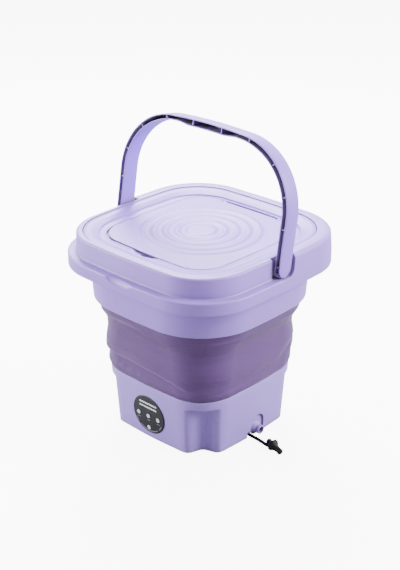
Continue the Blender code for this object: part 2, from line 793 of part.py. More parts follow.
def make_strap_and_plug():
    strap = smooth_points(STRAP_ROUTE, 4)
    tube("drain_strap", strap, STRAP_DIAMETER / 2, BLACK_RUBBER)
    nipple = PLUG_NIPPLE_RADIUS
    flange = PLUG_FLANGE_RADIUS
    profile = [
        (0, 0.0104),
        (0.0022, 0.0100),
        (0.0036, 0.0086),
        (0.0041, 0.0066),
        (0.0034, 0.0048),
        (0.0024, 0.0038),
        (flange * 0.7, 0.0030),
        (flange - 0.0005, 0.0016),
        (flange, 0.0),
        (flange - 0.0006, -0.0018),
        (flange * 0.72, -0.0040),
        (nipple + 0.0006, -0.0062),
        (nipple, -0.0080),
        (nipple, -0.0145),
        (nipple - 0.0012, -0.0158),
        (0, -0.0162),
    ]
    droop = math.sin(PLUG_TILT)
    lift = max(radius * math.cos(PLUG_TILT) - height * droop for radius, height in profile)
    axis = Vector(
        (
            math.cos(PLUG_HEADING) * math.cos(PLUG_TILT),
            math.sin(PLUG_HEADING) * math.cos(PLUG_TILT),
            -droop,
        )
    )
    place = facing((PLUG_X, PLUG_Y, lift + 0.0001), -axis)
    turned("drain_plug", profile, BLACK_RUBBER, place, steps=20)


# ---------------------------------------------------------------- bellows and rim
def make_bellows():
    foot = SHELL_TOP_Z + GAP
    skirt_z = DECK_TOP_Z + 0.0025
    top = NECK_BOTTOM_Z + BELLOWS_TUCK
    top_half = NECK_HALF - RIM_WALL - GAP
    top_corner = NECK_CORNER - RIM_WALL - GAP
    height = NECK_BOTTOM_Z - foot
    folds = [(foot, SHELL_TOP_HALF - 0.0006, SHELL_TOP_CORNER)]
    for share, half, corner in BELLOWS_FOLDS:
        folds.append((foot + share * height, half, corner))
    folds.append((NECK_BOTTOM_Z - 0.002, top_half, top_corner))
    folds.append((top, top_half, top_corner))
    outer_skirt = SHELL_WALL + GAP
    inner_skirt = outer_skirt + BELLOWS_WALL
    rings = [shell_ring(skirt_z, outer_skirt), shell_ring(foot, outer_skirt)]
    for z, half, corner in folds:
        rings.append(outline(half, corner, z, bow=SIDE_BOW))
    for z, half, corner in reversed(folds[1:]):
        rings.append(outline(half - BELLOWS_WALL, corner - BELLOWS_WALL, z, bow=SIDE_BOW))
    rings.append(shell_ring(foot + 0.001, inner_skirt))
    rings.append(shell_ring(skirt_z, inner_skirt))
    finish("bellows", loft(rings, closed=True), PURPLE_RUBBER)
    share = shell_share(skirt_z)
    clamp_inset = inner_skirt + GAP
    clamp_half = blend(SHELL_FOOT_HALF, SHELL_TOP_HALF, share) - clamp_inset
    clamp_corner = blend(SHELL_FOOT_CORNER, SHELL_TOP_CORNER, share) - clamp_inset
    band("lower_clamp_ring", clamp_half, clamp_corner, skirt_z, foot - 0.002)
    inside = BELLOWS_WALL + GAP
    band("upper_clamp_ring", top_half - inside, top_corner - inside, NECK_BOTTOM_Z + 0.001, top)


def band(name, half, corner, low, high, thickness=CLAMP_THICKNESS, finish_material=None):
    """A flat hoop inside an outline."""
    rings = [
        outline(half, corner, low, bow=SIDE_BOW),
        outline(half, corner, high, bow=SIDE_BOW),
        outline(half - thickness, corner - thickness, high, bow=SIDE_BOW),
        outline(half - thickness, corner - thickness, low, bow=SIDE_BOW),
    ]
    return finish(name, loft(rings, closed=True), finish_material or LAVENDER)


def ring_between(inner, outer, low, high):
    """A hoop between two (half, corner) outlines."""
    rings = [
        outline(*inner, low, bow=SIDE_BOW),
        outline(*outer, low, bow=SIDE_BOW),
        outline(*outer, high, bow=SIDE_BOW),
        outline(*inner, high, bow=SIDE_BOW),
    ]
    return loft(rings, closed=True)


def kept_side(tool, front, edge_y=0.0):
    """Keep only the part of a cutter on one side of edge_y."""
    reach = 0.3
    low, high = (-reach, edge_y) if front else (edge_y, reach)
    half_space = block((-reach, low, 0.0), (reach, high, 0.4))
    side = as_cutter(finish(f"{tool.name}_side", half_space, LAVENDER))
    boolean(tool, side, "INTERSECT")
    return tool


def pocket_points():
    """The handle pocket seen along -X, as (y, z): straight in front, round below and behind
    the pivot, then leaning back with the upright handle."""
    top = WALL_TOP_Z + 0.02
    points = [(-POCKET_RADIUS, top), (-POCKET_RADIUS, LEDGE_Z)]
    low_angle = -math.acos(min(1.0, (PIVOT_Z - LEDGE_Z) / POCKET_RADIUS))
    start = -math.pi / 2 - low_angle
    for step in range(9):
        angle = start + (-HANDLE_LEAN - start) * step / 8
        points.append((POCKET_RADIUS * math.cos(angle), PIVOT_Z + POCKET_RADIUS * math.sin(angle)))
    rise = top - points[-1][1]
    points.append((points[-1][0] + rise * math.tan(HANDLE_LEAN), top))
    return points


def make_rim_frame():
    neck = (NECK_HALF, NECK_CORNER)
    rim = (RIM_HALF, RIM_CORNER)
    seat = (SEAT_HALF, SEAT_CORNER)
    shelf_z = SKIRT_BOTTOM_Z + 0.007
    rings = [
        outline(*neck, NECK_BOTTOM_Z, bow=SIDE_BOW),
        outline(neck[0] + 0.0022, neck[1], SKIRT_BOTTOM_Z + 0.001, bow=SIDE_BOW),
        outline(neck[0] + 0.0032, neck[1], shelf_z, bow=SIDE_BOW),
        outline(rim[0] - SKIRT_WALL, rim[1] - SKIRT_WALL, shelf_z, bow=SIDE_BOW),
        outline(rim[0] - SKIRT_WALL, rim[1] - SKIRT_WALL, SKIRT_BOTTOM_Z, bow=SIDE_BOW),
        outline(*rim, SKIRT_BOTTOM_Z, bow=SIDE_BOW),
        outline(rim[0] - 0.0006, rim[1], WALL_TOP_Z - 0.0050, bow=SIDE_BOW),
        outline(rim[0] - 0.0018, rim[1], WALL_TOP_Z - 0.0016, bow=SIDE_BOW),
        outline(rim[0] - 0.0040, rim[1] - 0.002, WALL_TOP_Z, bow=SIDE_BOW),
        outline(seat[0] + 0.0012, seat[1], WALL_TOP_Z, bow=SIDE_BOW),
        outline(*seat, WALL_TOP_Z - 0.0010, bow=SIDE_BOW),
        outline(*seat, SEAT_Z, bow=SIDE_BOW),
        outline(seat[0] - 0.0030, seat[1], SEAT_Z, bow=SIDE_BOW),
        outline(NECK_HALF - 0.0012, NECK_CORNER - 0.002, SKIRT_BOTTOM_Z, bow=SIDE_BOW),
        outline(NECK_HALF - RIM_WALL, NECK_CORNER - RIM_WALL, NECK_BOTTOM_Z, bow=SIDE_BOW),
    ]
    frame = finish("rim_frame", loft(rings, closed=True), LAVENDER)
    front_wall = (RIM_HALF - FRONT_WALL_SETBACK, RIM_CORNER - FRONT_WALL_SETBACK)
    clear = (RIM_HALF + 0.02, RIM_CORNER + 0.02)
    ledge = as_cutter(finish("front_ledge", ring_between(front_wall, clear, LEDGE_Z, 0.30), LAVENDER))
    boolean(frame, kept_side(ledge, front=True))
    hollow_in = (NECK_HALF + 0.0062, SEAT_CORNER + 0.002)
    hollow_out = (RIM_HALF - 0.0045, RIM_CORNER - 0.0045)
    under = finish("rim_hollow", ring_between(hollow_in, hollow_out, shelf_z - 0.001, LEDGE_Z - 0.003), LAVENDER)
    boolean(frame, as_cutter(under))
    rear_in = (hollow_in[0] + 0.0005, hollow_in[1] + 0.0005)
    rear_out = (hollow_out[0] - 0.0005, hollow_out[1] - 0.0005)
    rear = finish("rear_hollow", ring_between(rear_in, rear_out, LEDGE_Z - 0.004, WALL_TOP_Z - 0.003), LAVENDER)
    boolean(frame, kept_side(as_cutter(rear), front=False, edge_y=POCKET_RADIUS + 0.008))
    for name, side in (("left", -1), ("right", 1)):
        depth = side * 0.03
        place = Matrix.Translation((side * POCKET_FLOOR_X, 0, 0)) @ ALONG_X
        pocket = prism(pocket_points(), depth, place)
        boolean(frame, as_cutter(finish(f"pocket_{name}", pocket, LAVENDER)))
        seat_hole = rod(
            PIVOT_PIN_RADIUS + GAP,
            (side * PIN_ROOT_X, 0, PIVOT_Z),
            (side * (POCKET_FLOOR_X + 0.01), 0, PIVOT_Z),
        )
        boolean(frame, as_cutter(finish(f"pin_seat_{name}", seat_hole, LAVENDER)))
        collar_tip = HANDLE_HALF - HANDLE_LEG - GAP
        root = PIN_ROOT_X + GAP
        tip = RIM_HALF - 0.0030
        turned(
            f"handle_pin_{name}",
            [
                (0, tip),
                (PIVOT_PIN_RADIUS - 0.0006, tip),
                (PIVOT_PIN_RADIUS, tip - 0.0006),
                (PIVOT_PIN_RADIUS, collar_tip),
                (PIVOT_PIN_RADIUS + 0.0022, collar_tip),
                (PIVOT_PIN_RADIUS + 0.0022, POCKET_FLOOR_X + GAP),
                (PIVOT_PIN_RADIUS, POCKET_FLOOR_X + GAP),
                (PIVOT_PIN_RADIUS, root),
                (0, root),
            ],
            STEEL,
            facing((0, 0, PIVOT_Z), (side, 0, 0)),
            steps=20,
        )
    scoop = bmesh.new()
    bmesh.ops.create_uvsphere(scoop, u_segments=24, v_segments=14, radius=1.0)
    shape = Matrix.Diagonal((FINGER_NOTCH_HALF, 0.0040, 0.0090, 1))
    spot = Matrix.Translation((0, -RIM_HALF - SIDE_BOW - 0.0003, LEDGE_Z + 0.0015))
    bmesh.ops.transform(scoop, matrix=spot @ shape, verts=scoop.verts)
    boolean(frame, as_cutter(finish("finger_notch", scoop, LAVENDER)))


# ---------------------------------------------------------------- lid and flap
def flap_outline(inset, z):
    return outline(
        FLAP_HALF_X - inset,
        FLAP_CORNER - inset,
        z,
        bow=FLAP_BOW,
        half_y=FLAP_HALF_Y - inset,
        centre_y=FLAP_CENTRE_Y,
    )


def make_lid():
    half = SEAT_HALF - 0.0005
    corner = SEAT_CORNER - 0.0005
    foot = SEAT_Z + SEAL_THICKNESS + 2 * GAP
    dish_z = FLAP_TOP_Z + 0.0004
    thick = LID_THICKNESS
    rings = [
        outline(half, corner, foot, bow=SIDE_BOW),
        outline(half, corner, LID_TOP_Z - 0.0009, bow=SIDE_BOW),
        outline(half - 0.0009, corner, LID_TOP_Z, bow=SIDE_BOW),
        outline(half - 0.0045, corner - 0.003, LID_TOP_Z, bow=SIDE_BOW),
        outline(half - 0.0150, corner - 0.008, dish_z + 0.0010, bow=SIDE_BOW),
        flap_outline(0.0, dish_z),
        flap_outline(0.0, FLAP_TOP_Z - FLAP_THICKNESS - 0.0006),
        flap_outline(0.0040, FLAP_TOP_Z - FLAP_THICKNESS - 0.0006),
        flap_outline(0.0040, FLAP_TOP_Z - FLAP_THICKNESS - 0.0022),
        outline(half - 0.0150, corner - 0.008, dish_z + 0.0010 - thick, bow=SIDE_BOW),
        outline(half - 0.0045, corner - 0.003, LID_TOP_Z - thick, bow=SIDE_BOW),
        outline(half - 0.0028, corner - 0.002, foot, bow=SIDE_BOW),
    ]
    lid = finish("lid_panel", loft(rings, closed=True), LAVENDER)
    rear = FLAP_CENTRE_Y + FLAP_HALF_Y
    lip = block((-0.062, rear - 0.012, 0.25), (0.062, rear - 0.0003, FLAP_TOP_Z - FLAP_THICKNESS + 0.0005))
    boolean(lid, as_cutter(finish("rear_lip_relief", lip, LAVENDER)))
    notch = bmesh.new()
    bmesh.ops.create_uvsphere(notch, u_segments=24, v_segments=14, radius=1.0)
    shape = Matrix.Diagonal((FINGER_NOTCH_HALF, 0.0090, 0.0055, 1))
    spot = Matrix.Translation((0, FLAP_CENTRE_Y - FLAP_HALF_Y, FLAP_TOP_Z + 0.0015))
    bmesh.ops.transform(notch, matrix=spot @ shape, verts=notch.verts)
    boolean(lid, as_cutter(finish("lid_notch", notch, LAVENDER)))
    for name, side in (("left", -1), ("right", 1)):
        swing = rod(
            0.0019,
            (side * 0.0660, HINGE_Y - 0.0013, FLAP_TOP_Z + 0.0002),
            (side * 0.0790, HINGE_Y - 0.0013, FLAP_TOP_Z + 0.0002),
        )
        boolean(lid, as_cutter(finish(f"swing_relief_{name}", swing, LAVENDER)))
        inner = side * (HINGE_HALF_LENGTH + GAP)
        outer = side * (HINGE_HALF_LENGTH + KNUCKLE_LENGTH)
        knuckle = rod(HINGE_RADIUS, (inner, HINGE_Y, HINGE_Z), (outer, HINGE_Y, HINGE_Z), 20)
        boolean(lid, as_cutter(finish(f"knuckle_{name}", knuckle, LAVENDER)), "UNION")
        low_x, high_x = sorted((inner, outer))
        web = block((low_x, HINGE_Y, HINGE_Z - 0.0014), (high_x, rear + 0.002, HINGE_Z + 0.0010))
        boolean(lid, as_cutter(finish(f"knuckle_web_{name}", web, LAVENDER)), "UNION")
        pin_in = side * (HINGE_HALF_LENGTH - 0.0060)
        bore = rod(HINGE_PIN_RADIUS + GAP, (pin_in, HINGE_Y, HINGE_Z), (outer * 1.01, HINGE_Y, HINGE_Z), 16)
        boolean(lid, as_cutter(finish(f"knuckle_bore_{name}", bore, LAVENDER)))
        pin = rod(
            HINGE_PIN_RADIUS,
            (pin_in + side * GAP, HINGE_Y, HINGE_Z),
            (outer - side * GAP, HINGE_Y, HINGE_Z),
            16,
        )
        finish(f"flap_pin_{name}", pin, STEEL)
    band("lid_seal", half, corner, SEAT_Z + GAP, SEAT_Z + GAP + SEAL_THICKNESS, 0.0024, GREY_RUBBER)


def make_flap():
    top = FLAP_TOP_Z
    bottom = top - FLAP_THICKNESS
    gap = FLAP_SIDE_GAP
    rings = [flap_outline(gap, bottom), flap_outline(gap, top - 0.0005), flap_outline(gap + 0.0005, top)]
    for index in range(RIPPLE_RINGS * 2 + 1):
        radius = RIPPLE_OUTER - index * (RIPPLE_OUTER - RIPPLE_INNER) / (RIPPLE_RINGS * 2)
        rings.append(circle(radius, top + (RIPPLE_HEIGHT if index % 2 else 0.0), centre_y=FLAP_CENTRE_Y))
    flap = finish("flap", loft(rings), LAVENDER, smooth_angle=50)
    rear = FLAP_CENTRE_Y + FLAP_HALF_Y
    lean = math.tan(FLAP_SWING)
    behind = [(0.014, -0.006), (0.014, 0.005), (-0.005 * lean - GAP, 0.005), (-GAP, 0.0), (-GAP, -0.006)]
    trim = prism(behind, 0.2, Matrix.Translation((-0.1, HINGE_Y, HINGE_Z)) @ ALONG_X)
    boolean(flap, as_cutter(finish("hinge_trim", trim, LAVENDER)))
    barrel = rod(HINGE_RADIUS, (-HINGE_HALF_LENGTH, HINGE_Y, HINGE_Z), (HINGE_HALF_LENGTH, HINGE_Y, HINGE_Z), 20)
    boolean(flap, as_cutter(finish("hinge_barrel", barrel, LAVENDER)), "UNION")
    for name, side in (("left", -1), ("right", 1)):
        low_x, high_x = sorted((side * HINGE_HALF_LENGTH, side * (HINGE_HALF_LENGTH + KNUCKLE_LENGTH + GAP)))
        way = block((low_x, HINGE_Y - HINGE_RADIUS - 2 * GAP, 0.25), (high_x, rear + 0.01, 0.28))
        boolean(flap, as_cutter(finish(f"knuckle_way_{name}", way, LAVENDER)))
        bore = rod(
            HINGE_PIN_RADIUS + GAP,
            (side * (HINGE_HALF_LENGTH - 0.0062), HINGE_Y, HINGE_Z),
            (side * (HINGE_HALF_LENGTH + 0.01), HINGE_Y, HINGE_Z),
            16,
        )
        boolean(flap, as_cutter(finish(f"barrel_bore_{name}", bore, LAVENDER)))


# ---------------------------------------------------------------- handle
HANDLE_FRAME = Matrix.Translation((0, 0, PIVOT_Z)) @ Matrix(
    (
        (1, 0, 0, 0),
        (0, math.sin(HANDLE_LEAN), math.cos(HANDLE_LEAN), 0),
        (0, math.cos(HANDLE_LEAN), -math.sin(HANDLE_LEAN), 0),
        (0, 0, 0, 1),
    )
)


def handle_stations():
    """Points of the outer edge from the right pivot round to the left one: each is
    (place, outward normal) in the handle's own plane of across and up."""
    shoulder = HANDLE_REACH - HANDLE_BOW - HANDLE_CORNER
    middle = HANDLE_HALF - HANDLE_CORNER
    right = []
    for step in range(6):
        right.append((Vector((HANDLE_HALF, shoulder * step / 6)), Vector((1, 0))))
    for step in range(13):
        angle = math.pi / 2 * step / 12
        normal = Vector((math.cos(angle), math.sin(angle)))
        right.append((Vector((middle, shoulder)) + normal * HANDLE_CORNER, normal))
    for step in range(1, 8):
        across = middle * (1 - step / 8)
        rise = HANDLE_BOW * (1 - (across / middle) ** 2)
        right.append((Vector((across, HANDLE_REACH - HANDLE_BOW + rise)), Vector((0, 1))))
    left = [(Vector((-place.x, place.y)), Vector((-normal.x, normal.y))) for place, normal in right]
    return [*right, (Vector((0, HANDLE_REACH)), Vector((0, 1))), *reversed(left)]


def ease(share):
    share = min(max(share, 0.0), 1.0)
    return share * share * (3 - 2 * share)


def handle_thickness(distance):
    """Thickness of the bail at a distance along it from the middle: a full grip, a waist on
    each side of it, and even legs."""
    distance = abs(distance)
    if distance < GRIP_END:
        return HANDLE_GRIP
    if distance < WAIST_AT:
        return blend(HANDLE_GRIP, HANDLE_WAIST, ease((distance - GRIP_END) / (WAIST_AT - GRIP_END)))
    return blend(HANDLE_WAIST, HANDLE_LEG, ease((distance - WAIST_AT) / (LEG_FROM - WAIST_AT)))


def measured_stations():
    """The stations with their distance from the middle of the bail, minus on the right."""
    stations = handle_stations()
    distances = [0.0]
    for (before, _), (after, _) in zip(stations, stations[1:]):
        distances.append(distances[-1] + (after - before).length)
    half = distances[-1] / 2
    return [(distance - half, place, normal) for distance, (place, normal) in zip(distances, stations)]


def station_at(stations, distance):
    for (low, place, normal), (high, next_place, next_normal) in zip(stations, stations[1:]):
        if low <= distance <= high:
            share = (distance - low) / (high - low)
            return distance, place.lerp(next_place, share), normal.lerp(next_normal, share).normalized()
    return stations[-1]


def bail(stations, outer_inset, inner_inset, front, back, chamfer=0.0):
    """Sweep a rectangle along the stations, between two insets and two depths, with its
    outer rear corner chamfered."""
    rings = []
    for distance, place, normal in stations:
        outer = place - normal * outer_inset
        inner = place - normal * (handle_thickness(distance) - inner_inset)
        shaved = outer - normal * chamfer
        rings.append(
            [
                (*outer, front),
                (*outer, back - chamfer),
                (*shaved, back),
                (*inner, back),
                (*inner, front),
            ]
        )
    return loft(rings)


def make_handle():
    stations = measured_stations()
    half_width = HANDLE_WIDTH / 2
    swept = bail(stations, 0.0, 0.0, -half_width, half_width, HANDLE_CHAMFER)
    bmesh.ops.transform(swept, matrix=HANDLE_FRAME, verts=swept.verts)
    handle = finish("handle", swept, HANDLE_PLASTIC)
    for name, side in (("left", -1), ("right", 1)):
        outer = side * HANDLE_HALF
        inner = side * (HANDLE_HALF - HANDLE_LEG)
        hub = rod(half_width, (inner, 0, PIVOT_Z), (outer, 0, PIVOT_Z), 40)
        boolean(handle, as_cutter(finish(f"hub_{name}", hub, HANDLE_PLASTIC)), "UNION")
        bore = rod(
            PIVOT_PIN_RADIUS + GAP,
            (inner - side * 0.002, 0, PIVOT_Z),
            (outer - side * 0.002, 0, PIVOT_Z),
            24,
        )
        boolean(handle, as_cutter(finish(f"hub_bore_{name}", bore, HANDLE_PLASTIC)))
    reach = stations[-1][0] - HUB_TOP
    ribs = [-reach]
    ribs += [-place for place in reversed(RIB_STATIONS)]
    ribs += list(RIB_STATIONS)
    ribs.append(reach)
    for index, (low, high) in enumerate(zip(ribs, ribs[1:])):
        low += RIB_THICKNESS / 2
        high -= RIB_THICKNESS / 2
        inside = [station for station in stations if low < station[0] < high]
        span = [station_at(stations, low), *inside, station_at(stations, high)]
        cell = bail(span, HANDLE_WALL, HANDLE_WALL, -half_width - 0.002, half_width - HANDLE_WALL)
        bmesh.ops.transform(cell, matrix=HANDLE_FRAME, verts=cell.verts)
        boolean(handle, as_cutter(finish(f"cell_{index}", cell, HANDLE_PLASTIC)))


# ---------------------------------------------------------------- joints
def hang(name, spot, pieces, carrier=None):
    """An empty on a joint's axis, from which the pieces that the joint moves hang in their places."""
    empty = bpy.data.objects.new(name, None)
    empty.empty_display_size = 0.02
    parts.objects.link(empty)
    empty.location = spot
    if carrier is not None:
        empty.parent = carrier
        empty.matrix_parent_inverse = carrier.matrix_world.inverted()
    bpy.context.view_layer.update()
    for piece in pieces:
        obj = parts.objects[piece]
        obj.parent = empty
        obj.matrix_parent_inverse = empty.matrix_world.inverted()
    return empty


def hang_moving_pieces():
    rim = hang(
        "rim_slide",
        (0, 0, NECK_BOTTOM_Z),
        ("rim_frame", "upper_clamp_ring", "handle_pin_left", "handle_pin_right"),
    )
    hang("handle_pivot", (0, 0, PIVOT_Z), ("handle",), rim)
    lid = hang(
        "lid_lift", (0, 0, SEAT_Z), ("lid_panel", "lid_seal", "flap_pin_left", "flap_pin_right"), rim
    )
    hang("flap_hinge", (0, HINGE_Y, HINGE_Z), ("flap",), lid)
    hang("pulsator_axis", (0, 0, PULSATOR_BOTTOM_Z), ("pulsator", "drive_shaft"))
    for name, across, up in BUTTONS:
        hang(f"{name}_axis", on_panel(across, up, 0), (name,))


def main():
    make_base_shell()
    make_bottom_cover()
    make_drive()
    make_pulsator()
    make_control_panel()
    make_power_jack()
    make_drain()
    make_drain_tube()
    make_strap_and_plug()
    make_bellows()
    make_rim_frame()
    make_lid()
    make_flap()
    make_handle()
    hang_moving_pieces()


main()
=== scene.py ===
"""Folding mini washing machine: its finished look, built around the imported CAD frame.

Units are metres in the row frame: +Z up, -Y towards the control panel, +X towards the drain.
Each dataclass builds one sub-assembly, and each piece rides on the CAD body that it belongs to.
"""

import logging
import math
from collections.abc import Callable, Iterable, Sequence
from dataclasses import dataclass, field, replace
from enum import Enum

import bmesh
import bpy
import numpy as np
from mathutils import Matrix, Vector


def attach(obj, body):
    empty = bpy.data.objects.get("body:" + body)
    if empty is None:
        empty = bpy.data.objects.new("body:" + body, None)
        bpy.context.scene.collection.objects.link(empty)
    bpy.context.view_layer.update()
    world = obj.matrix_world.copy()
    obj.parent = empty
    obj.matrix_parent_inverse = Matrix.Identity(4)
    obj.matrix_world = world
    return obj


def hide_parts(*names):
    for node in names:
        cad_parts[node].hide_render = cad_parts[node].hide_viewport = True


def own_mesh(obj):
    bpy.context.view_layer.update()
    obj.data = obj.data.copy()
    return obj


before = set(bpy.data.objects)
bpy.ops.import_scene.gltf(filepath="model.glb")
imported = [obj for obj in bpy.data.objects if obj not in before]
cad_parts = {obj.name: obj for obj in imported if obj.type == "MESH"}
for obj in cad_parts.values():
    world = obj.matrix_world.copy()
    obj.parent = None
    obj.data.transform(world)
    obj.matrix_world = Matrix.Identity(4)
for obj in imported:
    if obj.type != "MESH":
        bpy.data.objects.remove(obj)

log = logging.getLogger("washing_machine")

Piece = bpy.types.Object
Point = Sequence[float]

SIDE_BOW = 0.0024  # how far the middle of each side of the tub swells out
HANDLE_LEAN = math.radians(9.45)  # how far the upright bail leans back
PIVOT_Z = 0.2542  # height of the bail's pins
PANEL_RADIUS = 0.0276
PANEL_Z = 0.0375
FULL_TURN = 2 * math.pi


# ---------------------------------------------------------------- materials
def linear_rgba(hex_colour: str) -> tuple[float, float, float, float]:
    """Turn an sRGB hex colour into linear light.

    Args:
        hex_colour: six hex digits, such as "c8c0ea".

    Returns:
        The linear red, green and blue, and an alpha of 1.
    """

    def channel(pair: str) -> float:
        value = int(pair, 16) / 255
        return value / 12.92 if value <= 0.04045 else ((value + 0.055) / 1.055) ** 2.4

    return (channel(hex_colour[0:2]), channel(hex_colour[2:4]), channel(hex_colour[4:6]), 1.0)


def add_node(tree: bpy.types.NodeTree, kind: str, values: dict | None = None, **settings) -> bpy.types.Node:
    """Add a node, with its settings and its inputs.

    Args:
        tree: the tree that the node goes in.
        kind: the node's type name.
        values: for each input's name or place, a constant or the output that feeds it.
        **settings: the node's own properties.

    Returns:
        The new node.
    """
    node = tree.nodes.new(kind)
    for name, value in settings.items():
        setattr(node, name, value)
    for name, value in (values or {}).items():
        socket = node.inputs[name]
        if isinstance(value, bpy.types.NodeSocket):
            tree.links.new(value, socket)
        else:
            socket.default_value = value
    return node


@dataclass(frozen=True)
class Finish:
    """A procedural surface finish: its base colour, gloss, fine grain and broad mottle, with painted shade
    in gaps and painted highlights on creases where asked.
    """

    name: str
    colour: str
    roughness: float
    metallic: float = 0.0
    mottle: float = 0.03
    mottle_scale: float = 30.0
    grain: float = 0.05
    grain_scale: float = 900.0
    edge_radius: float = 0.0
    gloss: float = 0.5
    sheen: float = 0.0
    painted_highlight_colour: str | None = None
    # painted shade: the colour mixed in where ambient occlusion finds a channel or gap, and how far it looks
    painted_shade_colour: str | None = None
    painted_shade_reach: float = 0.012

    def mixed(
        self, tree: bpy.types.NodeTree, share: bpy.types.NodeSocket, first: object, second: object
    ) -> bpy.types.NodeSocket:
        """Mix two colours.

        Args:
            tree: the material's tree.
            share: how much of the second colour there is.
            first: the first colour, or the output that gives it.
            second: the second colour.

        Returns:
            The mixed colour's output.
        """
        values = {"Factor": share, 6: first, 7: second}
        return add_node(tree, "ShaderNodeMix", values, data_type="RGBA").outputs[2]

    def build(self) -> bpy.types.Material:
        """Build the material.

        Returns:
            A material whose colour, roughness and bump vary slightly over the object.
        """
        made = bpy.data.materials.new(self.name)
        made.use_nodes = True
        tree = made.node_tree
        tree.nodes.clear()
        place = add_node(tree, "ShaderNodeTexCoord").outputs["Object"]
        cloud = add_node(
            tree,
            "ShaderNodeTexNoise",
            {"Vector": place, "Scale": self.mottle_scale, "Detail": 3.0, "Roughness": 0.55},
        ).outputs["Fac"]
        base = linear_rgba(self.colour)
        shade = tuple(part * (1 - 2 * self.mottle) for part in base[:3]) + (1.0,)
        colour = self.mixed(tree, cloud, base, shade)
        # painted highlight: a paler colour mixed in along the creases that the attribute marks
        if self.painted_highlight_colour:
            painted_highlight = add_node(tree, "ShaderNodeAttribute", attribute_name="painted_highlight").outputs["Fac"]
            colour = self.mixed(tree, painted_highlight, colour, linear_rgba(self.painted_highlight_colour))
        # painted shade: a greyer, darker colour mixed in where ambient occlusion finds a channel or gap
        if self.painted_shade_colour:
            air = add_node(tree, "ShaderNodeAmbientOcclusion", {"Distance": self.painted_shade_reach}, samples=8)
            span = {"Value": air.outputs["AO"], "From Min": 0.25, "From Max": 0.85}
            span |= {"To Min": 1.0, "To Max": 0.0}
            shut = add_node(tree, "ShaderNodeMapRange", span).outputs["Result"]
            colour = self.mixed(tree, shut, colour, linear_rgba(self.painted_shade_colour))
        gloss = add_node(
            tree,
            "ShaderNodeMapRange",
            {"Value": cloud, "To Min": self.roughness * 0.9, "To Max": self.roughness * 1.1},
        ).outputs["Result"]
        grain = add_node(
            tree, "ShaderNodeTexNoise", {"Vector": place, "Scale": self.grain_scale, "Detail": 2.0}
        ).outputs["Fac"]
        bump_values = {"Strength": self.grain, "Distance": 0.0004, "Height": grain}
        if self.edge_radius:
            edge = add_node(tree, "ShaderNodeBevel", {"Radius": self.edge_radius}, samples=6)
            bump_values["Normal"] = edge.outputs["Normal"]
        bump = add_node(tree, "ShaderNodeBump", bump_values).outputs["Normal"]
        shader = add_node(
            tree,
            "ShaderNodeBsdfPrincipled",
            {
                "Base Color": colour,
                "Roughness": gloss,
                "Metallic": self.metallic,
                "Normal": bump,
                "Specular IOR Level": self.gloss,
                "Sheen Weight": self.sheen,
            },
        )
        add_node(tree, "ShaderNodeOutputMaterial", {"Surface": shader.outputs["BSDF"]})
        return made


# the lavender plastic deep in channels and gaps: painted shade, greyer and darker where ambient occlusion
# finds little room
CAVITY_PAINTED_SHADE = "80757f"


class Finishes(Enum):
    """The finishes, each named for the real material that it stands for; the rim's and the base's copies
    also carry painted light.
    """

    # satin ABS or polypropylene, moulded in lavender: lid, rim, base
    LAVENDER = Finish("lavender_moulded_plastic", "956fe4", 0.42, edge_radius=0.0007, painted_shade_colour=CAVITY_PAINTED_SHADE)
    # the same plastic in the rim, a little greyer and paler: painted light, its tone tuned to the light on
    # the rim
    LAVENDER_RIM_PAINTED_LIGHT = Finish("lavender_rim_painted_light", "9b79dd", 0.42, edge_radius=0.0007, painted_shade_colour=CAVITY_PAINTED_SHADE)
    # and in the base, greyer and paler again: painted light, its tone tuned to the light on the base
    LAVENDER_BASE_PAINTED_LIGHT = Finish("lavender_base_painted_light", "9c80d9", 0.44, edge_radius=0.0007, painted_shade_colour=CAVITY_PAINTED_SHADE)
    # the same plastic on the bail
    HANDLE = Finish("lavender_handle_plastic", "956fe4", 0.42, edge_radius=0.0005, painted_shade_colour=CAVITY_PAINTED_SHADE)
    # soft thermoplastic rubber of the folding wall, with a paler painted highlight along its creases
    BELLOWS = Finish(
        "purple_soft_rubber", "5c4077", 0.44, mottle=0.05, mottle_scale=14.0, grain=0.03, grain_scale=300.0,
        gloss=0.32, sheen=0.02, painted_highlight_colour="8d74b0",
    )
    # charcoal printed overlay of the control panel
    PANEL = Finish("charcoal_panel_overlay", "24252b", 0.5, grain=0.08, gloss=0.35)
    # white ink on the overlay
    INK = Finish("white_panel_ink", "e9e9ee", 0.6, grain=0.0)
    # grey ink of the small legends
    FAINT_INK = Finish("grey_panel_ink", "83858d", 0.6, grain=0.0)
    # pale keys of the control panel
    BUTTON = Finish("pale_button_plastic", "d9d9de", 0.45)
    # black rubber of the strap, the plug and the seals
    BLACK_RUBBER = Finish("black_rubber", "0c0c0d", 0.55, grain=0.12, grain_scale=1500.0, gloss=0.25)
    # grey rubber of the feet, the tube and the lid seal
    GREY_RUBBER = Finish("grey_rubber", "78767f", 0.7)
    # zinc-plated steel of the pins, the screws and the shaft
    STEEL = Finish("zinc_plated_steel", "c6c6c8", 0.3, metallic=1.0)
    # sintered bronze of the shaft's bush
    BRONZE = Finish("sintered_bronze", "96744a", 0.45, metallic=1.0, grain=0.2)
    # white acetal of the gearbox and the pulsator
    WHITE = Finish("white_acetal", "e4e3df", 0.45)
    # solder mask of the control board
    BOARD = Finish("green_solder_mask", "22583a", 0.45)


# ---------------------------------------------------------------- shapes
@dataclass(frozen=True)
class Level:
    """A corner of a wall's section: a rounded square's half width and corner radius at a height."""

    half: float
    corner: float
    z: float
    fillet: float = 0.0004


